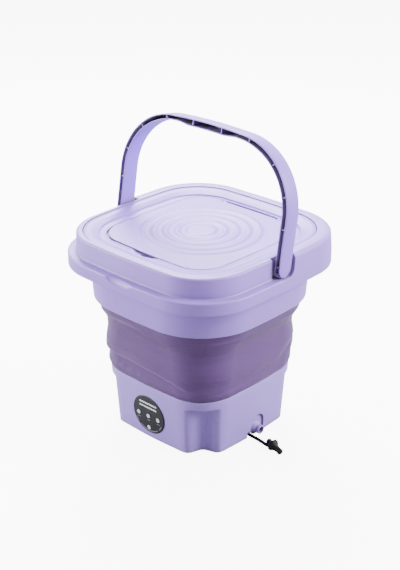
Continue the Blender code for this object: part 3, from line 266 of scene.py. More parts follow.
def fillet_arc(
    before: np.ndarray, at: np.ndarray, after: np.ndarray, radius: float, steps: int
) -> np.ndarray:
    """Round one corner of a line. The first two columns are its plane, and any others follow along.

    Args:
        before: the point before the corner.
        at: the corner.
        after: the point after the corner.
        radius: the wanted radius, made smaller where a side is short.
        steps: the number of segments of the arc.

    Returns:
        steps + 1 points.
    """
    back, ahead = before - at, after - at
    back_length, ahead_length = np.linalg.norm(back[:2]), np.linalg.norm(ahead[:2])
    back_way, ahead_way = back / back_length, ahead / ahead_length
    cosine = float(np.clip(back_way[:2] @ ahead_way[:2], -1, 1))
    half_angle = max(math.acos(cosine) / 2, 1e-3)
    reach = min(radius / math.tan(half_angle), 0.48 * back_length, 0.48 * ahead_length)
    if half_angle > math.pi / 2 - 0.02:
        reach = min(0.0004, 0.3 * back_length, 0.3 * ahead_length)
    start, end = at + back_way * reach, at + ahead_way * reach
    share = np.linspace(0, 1, steps + 1)[:, None]
    line = start + (end - start) * share
    bend = start * (1 - share) ** 2 + 2 * at * share * (1 - share) + end * share**2
    true_radius = reach * math.tan(half_angle)
    if half_angle <= math.pi / 2 - 0.02:
        middle = at[:2] + (back_way + ahead_way)[:2] / np.linalg.norm((back_way + ahead_way)[:2]) * (
            true_radius / math.sin(half_angle)
        )
        spokes = bend[:, :2] - middle
        bend[:, :2] = middle + spokes / np.linalg.norm(spokes, axis=1, keepdims=True) * true_radius
    bend[:, 2:] = line[:, 2:]
    return bend


def rounded_section(levels: Sequence[Level], steps: int = 5) -> np.ndarray:
    """Round the corners of a closed section.

    Args:
        levels: the section's corners in order.
        steps: the number of segments of each fillet.

    Returns:
        Rows of (half, z, corner).
    """
    points = np.array([(level.half, level.z, level.corner) for level in levels])
    count = len(points)
    arcs = [
        fillet_arc(points[index - 1], points[index], points[(index + 1) % count], level.fillet, steps)
        for index, level in enumerate(levels)
    ]
    return np.concatenate(arcs)


@dataclass(frozen=True)
class Outline:
    """A rounded rectangle with swollen sides, seen from above."""

    half_x: float
    corner: float
    half_y: float | None = None
    centre_y: float = 0.0
    bow: float = SIDE_BOW
    flute: float = 0.0
    flute_angle: float = math.radians(12.5)

    def points(self, z: float, corner_steps: int = 36, side_steps: int = 20) -> np.ndarray:
        """Sample the outline anticlockwise.

        Args:
            z: its height.
            corner_steps: segments in each corner.
            side_steps: segments in each side.

        Returns:
            Rows of (x, y, z), equal in number for every outline of the same steps.
        """
        half_y = self.half_x if self.half_y is None else self.half_y
        flat = []
        signs = ((1, 1), (-1, 1), (-1, -1), (1, -1))
        for quarter, (side_x, side_y) in enumerate(signs):
            middle = np.array((side_x * (self.half_x - self.corner), side_y * (half_y - self.corner)))
            angles = math.pi / 2 * (quarter + np.linspace(0, 1, corner_steps + 1))
            arc = middle + self.corner * np.stack((np.cos(angles), np.sin(angles)), axis=1)
            next_x, next_y = signs[(quarter + 1) % 4]
            following = np.array((next_x * (self.half_x - self.corner), next_y * (half_y - self.corner)))
            turn = math.pi / 2 * (quarter + 1)
            end = following + self.corner * np.array((math.cos(turn), math.sin(turn)))
            shares = np.linspace(0, 1, side_steps + 1)[1:-1, None]
            flat += [arc, arc[-1] + (end - arc[-1]) * shares]
        plan = np.concatenate(flat)
        direction = np.arctan2(plan[:, 1], plan[:, 0])
        swell = self.bow * np.cos(2 * direction) ** 2
        off = np.abs(direction % (math.pi / 2) - math.pi / 4) / self.flute_angle
        swell -= np.where(off < 1, self.flute * np.cos(math.pi / 2 * np.minimum(off, 1)) ** 2, 0.0)
        plan = plan * (1 + swell / np.linalg.norm(plan, axis=1))[:, None]
        return np.column_stack((plan[:, 0], plan[:, 1] + self.centre_y, np.full(len(plan), z)))


def circle_like(outline: Outline, radius: float, z: float, **steps: int) -> np.ndarray:
    """A circle whose points pair with an outline's.

    Args:
        outline: the outline that it pairs with.
        radius: the circle's radius.
        z: its height.
        **steps: the outline's steps.

    Returns:
        Rows of (x, y, z).
    """
    points = outline.points(z, **steps) - np.array((0, outline.centre_y, 0))
    direction = np.arctan2(points[:, 1], points[:, 0])
    return np.column_stack(
        (radius * np.cos(direction), radius * np.sin(direction) + outline.centre_y, np.full(len(points), z))
    )


def linked(name: str, data: bpy.types.ID) -> Piece:
    """Put a mesh, a curve, a light or a camera in the scene.

    Args:
        name: the object's name.
        data: its data.

    Returns:
        The new object.
    """
    obj = bpy.data.objects.new(name, data)
    bpy.context.scene.collection.objects.link(obj)
    return obj


def settled(name: str, shape: bmesh.types.BMesh) -> Piece:
    """Turn a working mesh into an object, and free it.

    Args:
        name: the object's name.
        shape: the working mesh.

    Returns:
        The new object.
    """
    mesh = bpy.data.meshes.new(name)
    shape.to_mesh(mesh)
    shape.free()
    return linked(name, mesh)


def mesh_object(
    name: str, vertices: np.ndarray, faces: Iterable[Sequence[int]], sharp: float = 38.0
) -> Piece:
    """Make a smooth-shaded mesh object in the scene.

    Args:
        name: the object's name.
        vertices: rows of (x, y, z).
        faces: lists of vertex places.
        sharp: edges steeper than this many degrees stay sharp.

    Returns:
        The new object.
    """
    mesh = bpy.data.meshes.new(name)
    mesh.from_pydata([tuple(map(float, row)) for row in vertices], [], [tuple(face) for face in faces])
    mesh.validate()
    obj = linked(name, mesh)
    clean = bmesh.new()
    clean.from_mesh(mesh)
    bmesh.ops.remove_doubles(clean, verts=clean.verts, dist=0.000002)
    bmesh.ops.recalc_face_normals(clean, faces=clean.faces)
    clean.to_mesh(mesh)
    clean.free()
    smooth(obj, sharp)
    return obj


def smooth(obj: Piece, sharp: float = 38.0) -> None:
    """Shade an object smooth, apart from its edges of more than so many degrees."""
    obj.data.shade_smooth()
    obj.data.set_sharp_from_angle(angle=math.radians(sharp))


def loft(name: str, rings: Sequence[np.ndarray], closed: bool = True, sharp: float = 38.0) -> Piece:
    """Skin equal rings.

    Args:
        name: the object's name.
        rings: arrays of points, all of one length.
        closed: whether the last ring joins the first. An open loft is capped.
        sharp: the least angle of a sharp edge, in degrees.

    Returns:
        The new object.
    """
    count, rows = len(rings[0]), len(rings)
    lower = np.arange(rows if closed else rows - 1)
    upper = (lower + 1) % rows
    around = np.arange(count)
    following = (around + 1) % count
    quads = np.stack(
        (
            lower[:, None] * count + around,
            lower[:, None] * count + following,
            upper[:, None] * count + following,
            upper[:, None] * count + around,
        ),
        axis=-1,
    ).reshape(-1, 4)
    faces = quads.tolist()
    if not closed:
        faces += [range(count), range((rows - 1) * count, rows * count)]
    return mesh_object(name, np.concatenate(rings), faces, sharp)


def baked(obj: Piece) -> Piece:
    """Apply an object's modifiers and its place, so that it sits unturned at the origin.

    Args:
        obj: the object.

    Returns:
        A mesh object of the same name.
    """
    bpy.context.view_layer.update()
    graph = bpy.context.evaluated_depsgraph_get()
    evaluated = obj.evaluated_get(graph)
    mesh = bpy.data.meshes.new_from_object(evaluated, preserve_all_data_layers=True, depsgraph=graph)
    mesh.transform(obj.matrix_world)
    name = obj.name
    bpy.data.objects.remove(obj, do_unlink=True)
    mesh.name = name
    made = linked(name, mesh)
    smooth(made)
    return made


def carved(obj: Piece, cutters: Sequence[Piece]) -> Piece:
    """Cut an object with others, and remove them.

    Args:
        obj: the object.
        cutters: what it is cut with.

    Returns:
        The cut object.
    """
    for cutter in cutters:
        step = obj.modifiers.new(cutter.name, "BOOLEAN")
        step.operation = "DIFFERENCE"
        step.solver = "MANIFOLD"
        step.object = cutter
    made = baked(obj)
    for cutter in cutters:
        bpy.data.objects.remove(cutter, do_unlink=True)
    return made


def joined(name: str, pieces: Sequence[Piece]) -> Piece:
    """Join pieces into one object.

    Args:
        name: the object's name.
        pieces: mesh objects at the origin.

    Returns:
        The joined object.
    """
    whole = bmesh.new()
    for piece in pieces:
        whole.from_mesh(piece.data)
        bpy.data.objects.remove(piece, do_unlink=True)
    made = settled(name, whole)
    smooth(made)
    return made


def turned(
    name: str, profile: Sequence[tuple[float, float, float]], place: Matrix, steps: int = 96
) -> Piece:
    """Turn a filleted profile about its own Z axis.

    Args:
        name: the object's name.
        profile: (radius, height, fillet) from the axis at the top, down the outer side, to the axis.
        place: where the turned shape goes.
        steps: segments around.

    Returns:
        The turned object.
    """
    points = np.array([(radius, height, 0.0) for radius, height, _ in profile])
    line = [points[0][None, :]]
    for index in range(1, len(points) - 1):
        line.append(fillet_arc(points[index - 1], points[index], points[index + 1], profile[index][2], 5))
    line.append(points[-1][None, :])
    section = np.concatenate(line)
    angles = np.linspace(0, FULL_TURN, steps, endpoint=False)
    rings = [
        np.column_stack((radius * np.cos(angles), radius * np.sin(angles), np.full(steps, height)))
        for radius, height, _ in section
    ]
    made = loft(name, rings, closed=False)
    made.data.transform(place)
    return made


def rod(name: str, radius: float, start: Point, end: Point, steps: int = 96) -> Piece:
    """A plain cylinder between two points."""
    length = (Vector(end) - Vector(start)).length
    profile = [(0, length, 0), (radius, length, 0), (radius, 0, 0), (0, 0, 0)]
    return turned(name, profile, facing(start, end), steps)


def facing(start: Point, end: Point) -> Matrix:
    """A frame at one point whose Z axis runs towards another."""
    axis = (Vector(end) - Vector(start)).normalized()
    return Matrix.Translation(start) @ axis.to_track_quat("Z", "Y").to_matrix().to_4x4()


def prism(name: str, outline: Sequence[tuple[float, float]], near_x: float, far_x: float) -> Piece:
    """Push a flat outline of (y, z) points along X, from one end to the other."""
    rings = [np.array([(x, y, z) for y, z in outline]) for x in (near_x, far_x)]
    return loft(name, rings, closed=False)


def ball(name: str, centre: Point, radii: Point) -> Piece:
    """An ellipsoid.

    Args:
        name: the object's name.
        centre: its middle.
        radii: its half sizes along X, Y and Z.

    Returns:
        The ellipsoid.
    """
    shape = bmesh.new()
    bmesh.ops.create_uvsphere(shape, u_segments=96, v_segments=48, radius=1.0)
    matrix = Matrix.Translation(centre) @ Matrix.Diagonal((*radii, 1))
    bmesh.ops.transform(shape, matrix=matrix, verts=shape.verts)
    return settled(name, shape)


def block(name: str, low: Point, high: Point) -> Piece:
    """A box between two corners.

    Args:
        name: the object's name.
        low: its lowest corner.
        high: its highest corner.

    Returns:
        The box.
    """
    shape = bmesh.new()
    bmesh.ops.create_cube(shape, size=1.0)
    low, high = Vector(low), Vector(high)
    matrix = Matrix.Translation((low + high) / 2) @ Matrix.Diagonal((*(high - low), 1))
    bmesh.ops.transform(shape, matrix=matrix, verts=shape.verts)
    return settled(name, shape)


def smoothstep(low: float, high: float, value: np.ndarray) -> np.ndarray:
    """Rise smoothly from 0 at low to 1 at high."""
    share = np.clip((value - low) / (high - low), 0, 1)
    return share * share * (3 - 2 * share)


def bump(value: np.ndarray, centre: float, width: float) -> np.ndarray:
    """A bell of height 1 at centre."""
    return np.exp(-(((value - centre) / width) ** 2))


# ---------------------------------------------------------------- stage
@dataclass
class Workshop:
    """Holds the built materials, and puts each piece on its body."""

    materials: dict[Finishes, bpy.types.Material] = field(default_factory=dict)

    def material(self, finish: Finishes) -> bpy.types.Material:
        """Build a finish once.

        Args:
            finish: the wanted finish.

        Returns:
            Its material.
        """
        if finish not in self.materials:
            self.materials[finish] = finish.value.build()
        return self.materials[finish]

    def fit(
        self, obj: Piece, finish: Finishes, body: str, nodes: Sequence[str] = ()
    ) -> Piece:
        """Finish a piece and make it ride on its body.

        Args:
            obj: the piece.
            finish: its finish.
            body: the CAD body that it rides on.
            nodes: the CAD nodes that it stands for.

        Returns:
            The piece.
        """
        obj.data.materials.clear()
        obj.data.materials.append(self.material(finish))
        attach(obj, body)
        if nodes:
            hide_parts(*nodes)
        return obj


# ---------------------------------------------------------------- rim
@dataclass
class Rim:
    """The wide moulded rim: neck, flange, ledge, wall and the seat of the lid."""

    half: float = 0.1400
    corner: float = 0.0755
    skirt_z: float = 0.2250
    ledge_z: float = 0.2415
    top_z: float = 0.2675
    neck_z: float = 0.1810
    neck_half: float = 0.1194
    neck_corner: float = 0.0786
    setback: float = 0.0115
    seat_half: float = 0.1222
    seat_corner: float = 0.0620
    seat_z: float = 0.2570
    hollow_front_z: float = 0.2360
    hollow_rear_z: float = 0.2600
    skirt_wall: float = 0.0046
    pocket_radius: float = 0.0147
    pocket_x: float = 0.1262

    def section(self, front: bool) -> np.ndarray:
        """The wall's section, on the front half or on the rear one.

        Args:
            front: whether it has the ledge.

        Returns:
            Rows of (half, z, corner).
        """
        hollow_z = self.hollow_front_z if front else self.hollow_rear_z
        skirt_half = self.half - self.skirt_wall
        wall = self.half - self.setback
        wall_corner = self.corner - self.setback
        if front:
            outside = [
                Level(self.half, self.corner, self.ledge_z, 0.0022),
                Level(wall + 0.0006, wall_corner, self.ledge_z, 0.0022),
                Level(wall, wall_corner, self.top_z, 0.0042),
            ]
        else:
            outside = [
                Level(self.half - 0.0002, self.corner, self.ledge_z + 0.003, 0.002),
                Level(self.half - 0.0008, self.corner, self.ledge_z + 0.012, 0.002),
                Level(self.half - 0.0016, self.corner, self.top_z, 0.0062),
            ]
        levels = [
            Level(self.neck_half, self.neck_corner, self.neck_z, 0.0010),
            Level(self.neck_half + 0.0024, self.neck_corner, self.skirt_z + 0.004, 0.002),
            Level(self.neck_half + 0.0032, self.neck_corner, 0.2320, 0.001),
            Level(self.neck_half + 0.0064, self.corner, hollow_z),
            Level(skirt_half, self.corner - 0.004, hollow_z),
            Level(skirt_half, self.corner - 0.004, 0.2300),
            Level(self.half - 0.0030, self.corner - 0.003, self.skirt_z, 0.0006),
            Level(self.half, self.corner, self.skirt_z, 0.0009),
            *outside,
            Level(self.seat_half, self.seat_corner, self.top_z, 0.0007),
            Level(self.seat_half, self.seat_corner, self.seat_z, 0.0006),
            Level(self.seat_half - 0.0030, self.seat_corner, self.seat_z, 0.0006),
            Level(self.neck_half - 0.0012, self.neck_corner - 0.002, self.skirt_z, 0.002),
            Level(self.neck_half - 0.0026, self.neck_corner - 0.0026, self.neck_z, 0.0008),
        ]
        return rounded_section(levels)

    def pocket(self, side: int) -> Piece:
        """The cutter of one handle pocket.

        Args:
            side: 1 on the right and -1 on the left.

        Returns:
            The cutter.
        """
        top = self.top_z + 0.02
        outline = [(-self.pocket_radius, top), (-self.pocket_radius, self.ledge_z)]
        low = math.acos(min(1.0, (PIVOT_Z - self.ledge_z) / self.pocket_radius))
        for angle in np.linspace(low - math.pi / 2, -HANDLE_LEAN, 32):
            across, up = self.pocket_radius * math.cos(angle), self.pocket_radius * math.sin(angle)
            outline.append((across, PIVOT_Z + up))
        last_y, last_z = outline[-1]
        outline.append((last_y + (top - last_z) * math.tan(HANDLE_LEAN), top))
        return prism(f"pocket_{side}", outline, side * self.pocket_x, side * (self.pocket_x + 0.03))

    def build(self, shop: Workshop) -> None:
        """Build the rim.

        Args:
            shop: the workshop.
        """
        front, rear = self.section(True), self.section(False)
        rings = []
        for near, far in zip(front, rear, strict=True):
            ahead = Outline(near[0], near[2]).points(near[1])
            behind = Outline(far[0], far[2]).points(far[1])
            rings.append(np.where(behind[:, 1:2] < -1e-6, ahead, behind))
        body = loft("rim_shell", rings)
        notch_y = -self.half - SIDE_BOW - 0.0003
        notch = ball("rim_notch", (0, notch_y, self.ledge_z + 0.0015), (0.0235, 0.0042, 0.0090))
        body = carved(body, [self.pocket(1), self.pocket(-1), notch])
        shop.fit(body, Finishes.LAVENDER_RIM_PAINTED_LIGHT, "rim", ["rim_frame"])


# ---------------------------------------------------------------- lid and flap
FLAP_OUTLINE = Outline(0.0930, 0.0380, half_y=0.0975, centre_y=0.0025, bow=0.0015)
FLAP_TOP_Z = 0.2624
HINGE_Y = 0.0967
HINGE_Z = 0.2610


def inset_flap(inset: float) -> Outline:
    """The flap's outline moved in by an even distance."""
    names = ("half_x", "half_y", "corner")
    return replace(FLAP_OUTLINE, **{name: getattr(FLAP_OUTLINE, name) - inset for name in names})


@dataclass
class Lid:
    """The lift-off lid: a raised border that slopes down to the flap's opening."""

    half: float = 0.1217
    corner: float = 0.0615
    foot_z: float = 0.2590
    top_z: float = 0.2668
    thickness: float = 0.0026
    hinge_half: float = 0.0440

    def border(self) -> list[np.ndarray]:
        """The rings of the lid's section.

        Returns:
            Rings from the outer foot, over the border, to the opening and back underneath.
        """
        dish_z = FLAP_TOP_Z + 0.0001
        over = [
            Level(self.half, self.corner, self.foot_z),
            Level(self.half, self.corner, self.top_z - 0.0006, 0.0012),
            Level(self.half - 0.0040, self.corner - 0.003, self.top_z, 0.002),
            Level(self.half - 0.0090, self.corner - 0.006, self.top_z - 0.0006, 0.004),
            Level(self.half - 0.0175, self.corner - 0.010, dish_z + 0.0006, 0.005),
        ]
        under = [
            Level(self.half - 0.0175, self.corner - 0.010, dish_z + 0.0006 - self.thickness),
            Level(self.half - 0.0060, self.corner - 0.004, self.top_z - self.thickness),
            Level(self.half - 0.0028, self.corner - 0.002, self.foot_z),
        ]
        section = rounded_section([*over, *under], steps=6)
        cut = len(over) * 7
        rings = [Outline(row[0], row[2]).points(row[1]) for row in section[:cut]]
        lip_z = FLAP_TOP_Z - 0.0026 - 0.0006
        for inset, z in ((-0.0006, dish_z), (-0.0001, dish_z - 0.0003), (0.0, dish_z - 0.0008)):
            rings.append(inset_flap(inset).points(z))
        for inset, z in ((0.0, lip_z), (0.0040, lip_z), (0.0040, lip_z - 0.0016)):
            rings.append(inset_flap(inset).points(z))
        rings += [Outline(row[0], row[2]).points(row[1]) for row in section[cut:]]
        return rings

    def build(self, shop: Workshop) -> None:
        """Build the lid.

        Args:
            shop: the workshop.
        """
        body = loft("lid_top", self.border())
        rear = FLAP_OUTLINE.centre_y + FLAP_OUTLINE.half_y
        front = FLAP_OUTLINE.centre_y - FLAP_OUTLINE.half_y
        notch = ball("lid_notch", (0, front, FLAP_TOP_Z + 0.0015), (0.0230, 0.0090, 0.0055))
        low, high = (-0.062, rear - 0.012, 0.25), (0.062, rear - 0.0003, FLAP_TOP_Z - 0.0021)
        relief = block("lip_relief", low, high)
        body = carved(body, [notch, relief])
        knuckles = []
        for side in (-1, 1):
            inner, outer = side * (self.hinge_half + 0.0003), side * (self.hinge_half + 0.0058)
            start, end = (inner, HINGE_Y, HINGE_Z), (outer, HINGE_Y, HINGE_Z)
            knuckles.append(rod(f"knuckle_{side}", 0.0019, start, end, 32))
            low_x, high_x = sorted((inner, outer))
            web_low, web_high = (low_x, HINGE_Y, HINGE_Z - 0.0012), (high_x, rear + 0.001, HINGE_Z + 0.0010)
            knuckles.append(block(f"knuckle_web_{side}", web_low, web_high))
        body = joined("lid_top", [body, *knuckles])
        shop.fit(body, Finishes.LAVENDER, "lid", ["lid_panel"])


@dataclass
class Flap:
    """The hinged flap in the lid, with rings pressed into its top."""

    thickness: float = 0.0026
    gap: float = 0.0005
    hinge_half: float = 0.0440
    ripple_pitch: float = 0.0146
    ripple_reach: float = 0.0840
    ripple_height: float = 0.0014
    hub_radius: float = 0.0160
    front_gap: float = 0.0010
    front_gap_left: float = 0.0030

    def ripple(self, radius: float) -> float:
        """The height of the pressed rings at a distance from the flap's middle.

        Args:
            radius: the distance.

        Returns:
            The height above the flap's top.
        """
        if radius > self.ripple_reach:
            return 0.0
        fade = float(smoothstep(self.ripple_reach, self.ripple_reach - 0.012, np.array(radius)))
        wave = 0.5 + 0.5 * math.cos(FULL_TURN * (radius - self.hub_radius) / self.ripple_pitch)
        if radius < self.hub_radius:
            wave = 1.0
        return self.ripple_height * fade * wave**1.5

    def pulled_back(self, ring: np.ndarray) -> np.ndarray:
        """Move the front edge back, most at the left, where the seam is widest.

        Args:
            ring: rows of (x, y, z).

        Returns:
            The moved rows.
        """
        moved = ring.copy()
        front = smoothstep(-0.030, -0.075, ring[:, 1])
        left = smoothstep(0.050, -0.075, ring[:, 0])
        moved[:, 1] += front * (self.front_gap + (self.front_gap_left - self.front_gap) * left)
        return moved

    def build(self, shop: Workshop) -> None:
        """Build the flap.

        Args:
            shop: the workshop.
        """
        top = FLAP_TOP_Z
        bottom = top - self.thickness
        rings = [inset_flap(self.gap + 0.012).points(bottom), inset_flap(self.gap + 0.0004).points(bottom)]
        for turn in np.linspace(0, math.pi / 2, 6):
            inset = self.gap + 0.0008 * (1 - math.cos(turn))
            rings.append(inset_flap(inset).points(top - 0.0008 * (1 - math.sin(turn))))
        rings.append(inset_flap(self.gap + 0.004).points(top))
        rings = [self.pulled_back(ring) for ring in rings]
        for radius in np.linspace(self.ripple_reach, 0.0012, 120):
            rings.append(circle_like(FLAP_OUTLINE, radius, top + self.ripple(radius)))
        plate = loft("flap_panel", rings, closed=False)
        rear = FLAP_OUTLINE.centre_y + FLAP_OUTLINE.half_y
        reach = self.hinge_half + 0.0062
        slot = block("hinge_slot", (-reach, HINGE_Y, 0.25), (reach, rear + 0.01, 0.28))
        ways = [
            block(f"knuckle_way_{side}", (min(a, b), HINGE_Y - 0.0026, 0.25), (max(a, b), rear + 0.01, 0.28))
            for side, a, b in ((-1, -self.hinge_half, -reach), (1, self.hinge_half, reach))
        ]
        plate = carved(plate, [slot, *ways])
        ends = [(side * self.hinge_half, HINGE_Y, HINGE_Z - 0.0003) for side in (-1, 1)]
        barrel = rod("barrel", 0.0014, *ends, 32)
        body = joined("flap_panel", [plate, barrel])
        shop.fit(body, Finishes.LAVENDER, "flap", ["flap"])


# ---------------------------------------------------------------- handle
@dataclass
class Handle:
    """The bail: a channel that opens forwards, with cross ribs and round ends."""

    half: float = 0.1399
    reach: float = 0.1475
    corner: float = 0.0856
    bow: float = 0.0020
    half_width: float = 0.0121
    leg: float = 0.0081
    waist: float = 0.0070
    grip: float = 0.0100
    wall: float = 0.0016
    ribs: tuple[float, ...] = (0.0235, 0.0690, 0.1175, 0.1610, 0.2010)
    rib_thickness: float = 0.0014

    def path(self) -> tuple[np.ndarray, np.ndarray, np.ndarray]:
        """The outer edge from the right pivot round to the left one.

        Returns:
            The distances from the middle, the places as (across, up), and the outward normals.
        """
        shoulder = self.reach - self.bow - self.corner
        middle = self.half - self.corner
        places, normals = [], []
        for share in np.linspace(0, 1, 40, endpoint=False):
            places.append((self.half, shoulder * share))
            normals.append((1.0, 0.0))
        for angle in np.linspace(0, math.pi / 2, 64):
            normals.append((math.cos(angle), math.sin(angle)))
            places.append((middle + self.corner * math.cos(angle), shoulder + self.corner * math.sin(angle)))
        for share in np.linspace(0, 1, 40)[1:-1]:
            across = middle * (1 - share)
            rise = self.bow * (1 - (across / middle) ** 2)
            places.append((across, self.reach - self.bow + rise))
            normals.append((0.0, 1.0))
        right, right_normals = np.array(places), np.array(normals)
        flip = np.array((-1.0, 1.0))
        line = np.concatenate((right, [(0.0, self.reach)], (right * flip)[::-1]))
        ways = np.concatenate((right_normals, [(0.0, 1.0)], (right_normals * flip)[::-1]))
        steps = np.linalg.norm(np.diff(line, axis=0), axis=1)
        distance = np.concatenate(([0.0], np.cumsum(steps)))
        return distance - distance[-1] / 2, line, ways

    def thickness(self, distance: float) -> float:
        """The bail's thickness at a distance along it from its middle.

        Args:
            distance: the distance.

        Returns:
            The thickness: a full grip, a waist on each side, and even legs.
        """
        away = np.array(abs(distance))
        to_waist = float(smoothstep(0.026, 0.051, away))
        to_leg = float(smoothstep(0.051, 0.090, away))
        return self.grip + (self.waist - self.grip) * to_waist + (self.leg - self.waist) * to_leg

    def section(self, thickness: float, half_width: float, floor: float) -> np.ndarray:
        """The channel's section as (inwards, back) points.

        Args:
            thickness: its size inwards.
            half_width: half its size from front to back.
            floor: how far back the channel's floor lies.

        Returns:
            Rows of (inwards, back).
        """
        wall = self.wall
        corners = [
            (0.0, -half_width, 0.0007),
            (0.0, half_width, min(0.0062, half_width * 0.6)),
            (thickness, half_width, 0.0012),
            (thickness, -half_width, 0.0006),
            (thickness - wall, -half_width, 0.0004),
            (thickness - wall, floor, 0.0003),
            (wall, floor, 0.0003),
            (wall, -half_width, 0.0004),
        ]
        points = np.array([(inwards, back, 0.0) for inwards, back, _ in corners])
        following = np.roll(points, -1, axis=0)
        arcs = [
            fillet_arc(points[index - 1], points[index], following[index], corners[index][2], 5)
            for index in range(len(points))
        ]
        return np.concatenate(arcs)[:, :2]

    def ring(self, place: np.ndarray, normal: np.ndarray, section: np.ndarray) -> np.ndarray:
        """Put a section at a place on the bail.

        Args:
            place: (across, up) of the outer edge.
            normal: the outward normal there.
            section: rows of (inwards, back).

        Returns:
            Rows of (x, y, z).
        """
        flat = place - section[:, :1] * normal
        up, back = flat[:, 1], section[:, 1]
        return np.column_stack(
            (
                flat[:, 0],
                up * math.sin(HANDLE_LEAN) + back * math.cos(HANDLE_LEAN),
                PIVOT_Z + up * math.cos(HANDLE_LEAN) - back * math.sin(HANDLE_LEAN),
            )
        )

    def end_rings(self, side: int) -> list[np.ndarray]:
        """The round end below the pivot.

        Args:
            side: 1 on the right and -1 on the left.

        Returns:
            Rings from the pivot down.
        """
        rings = []
        closed_below = 0.0060
        shut = False
        for angle in np.linspace(0.02, math.pi / 2 - 0.03, 28):
            drop = self.half_width * math.sin(angle)
            half_width = self.half_width * math.cos(angle)
            place, normal = np.array((side * self.half, -drop)), np.array((float(side), 0.0))
            if drop > closed_below and not shut:
                open_section = self.section(self.leg, half_width, half_width - self.wall)
                rings.append(self.ring(place, normal, open_section))
                shut = True
            floor = -half_width + 0.0003 if shut else half_width - self.wall
            rings.append(self.ring(place, normal, self.section(self.leg, half_width, floor)))
        return rings

    def build(self, shop: Workshop) -> None:
        """Build the handle.

        Args:
            shop: the workshop.
        """
        distance, line, ways = self.path()
        half_rib = self.rib_thickness / 2
        marks = [-rib for rib in reversed(self.ribs)] + list(self.ribs)
        marks = [distance[0] + 0.0012, *marks, distance[-1] - 0.0012]
        stops = [(float(at), False) for at in distance]
        for mark in marks:
            low, high = max(mark - half_rib, distance[0]), min(mark + half_rib, distance[-1])
            stops = [stop for stop in stops if not low - 0.0003 < stop[0] < high + 0.0003]
            stops += [(low, False), (low + 0.00005, True), (high - 0.00005, True), (high, False)]
        open_floor = self.half_width - self.wall
        rib_floor = -self.half_width + 0.0012
        rings = self.end_rings(1)[::-1]
        for at, ribbed in sorted(stops):
            place, normal = (
                np.array([np.interp(at, distance, table[:, axis]) for axis in (0, 1)])
                for table in (line, ways)
            )
            normal /= np.linalg.norm(normal)
            floor = rib_floor if ribbed else open_floor
            rings.append(self.ring(place, normal, self.section(self.thickness(at), self.half_width, floor)))
        rings += self.end_rings(-1)
        body = loft("handle_bail", rings, closed=False, sharp=45.0)
        shop.fit(body, Finishes.HANDLE, "handle", ["handle"])


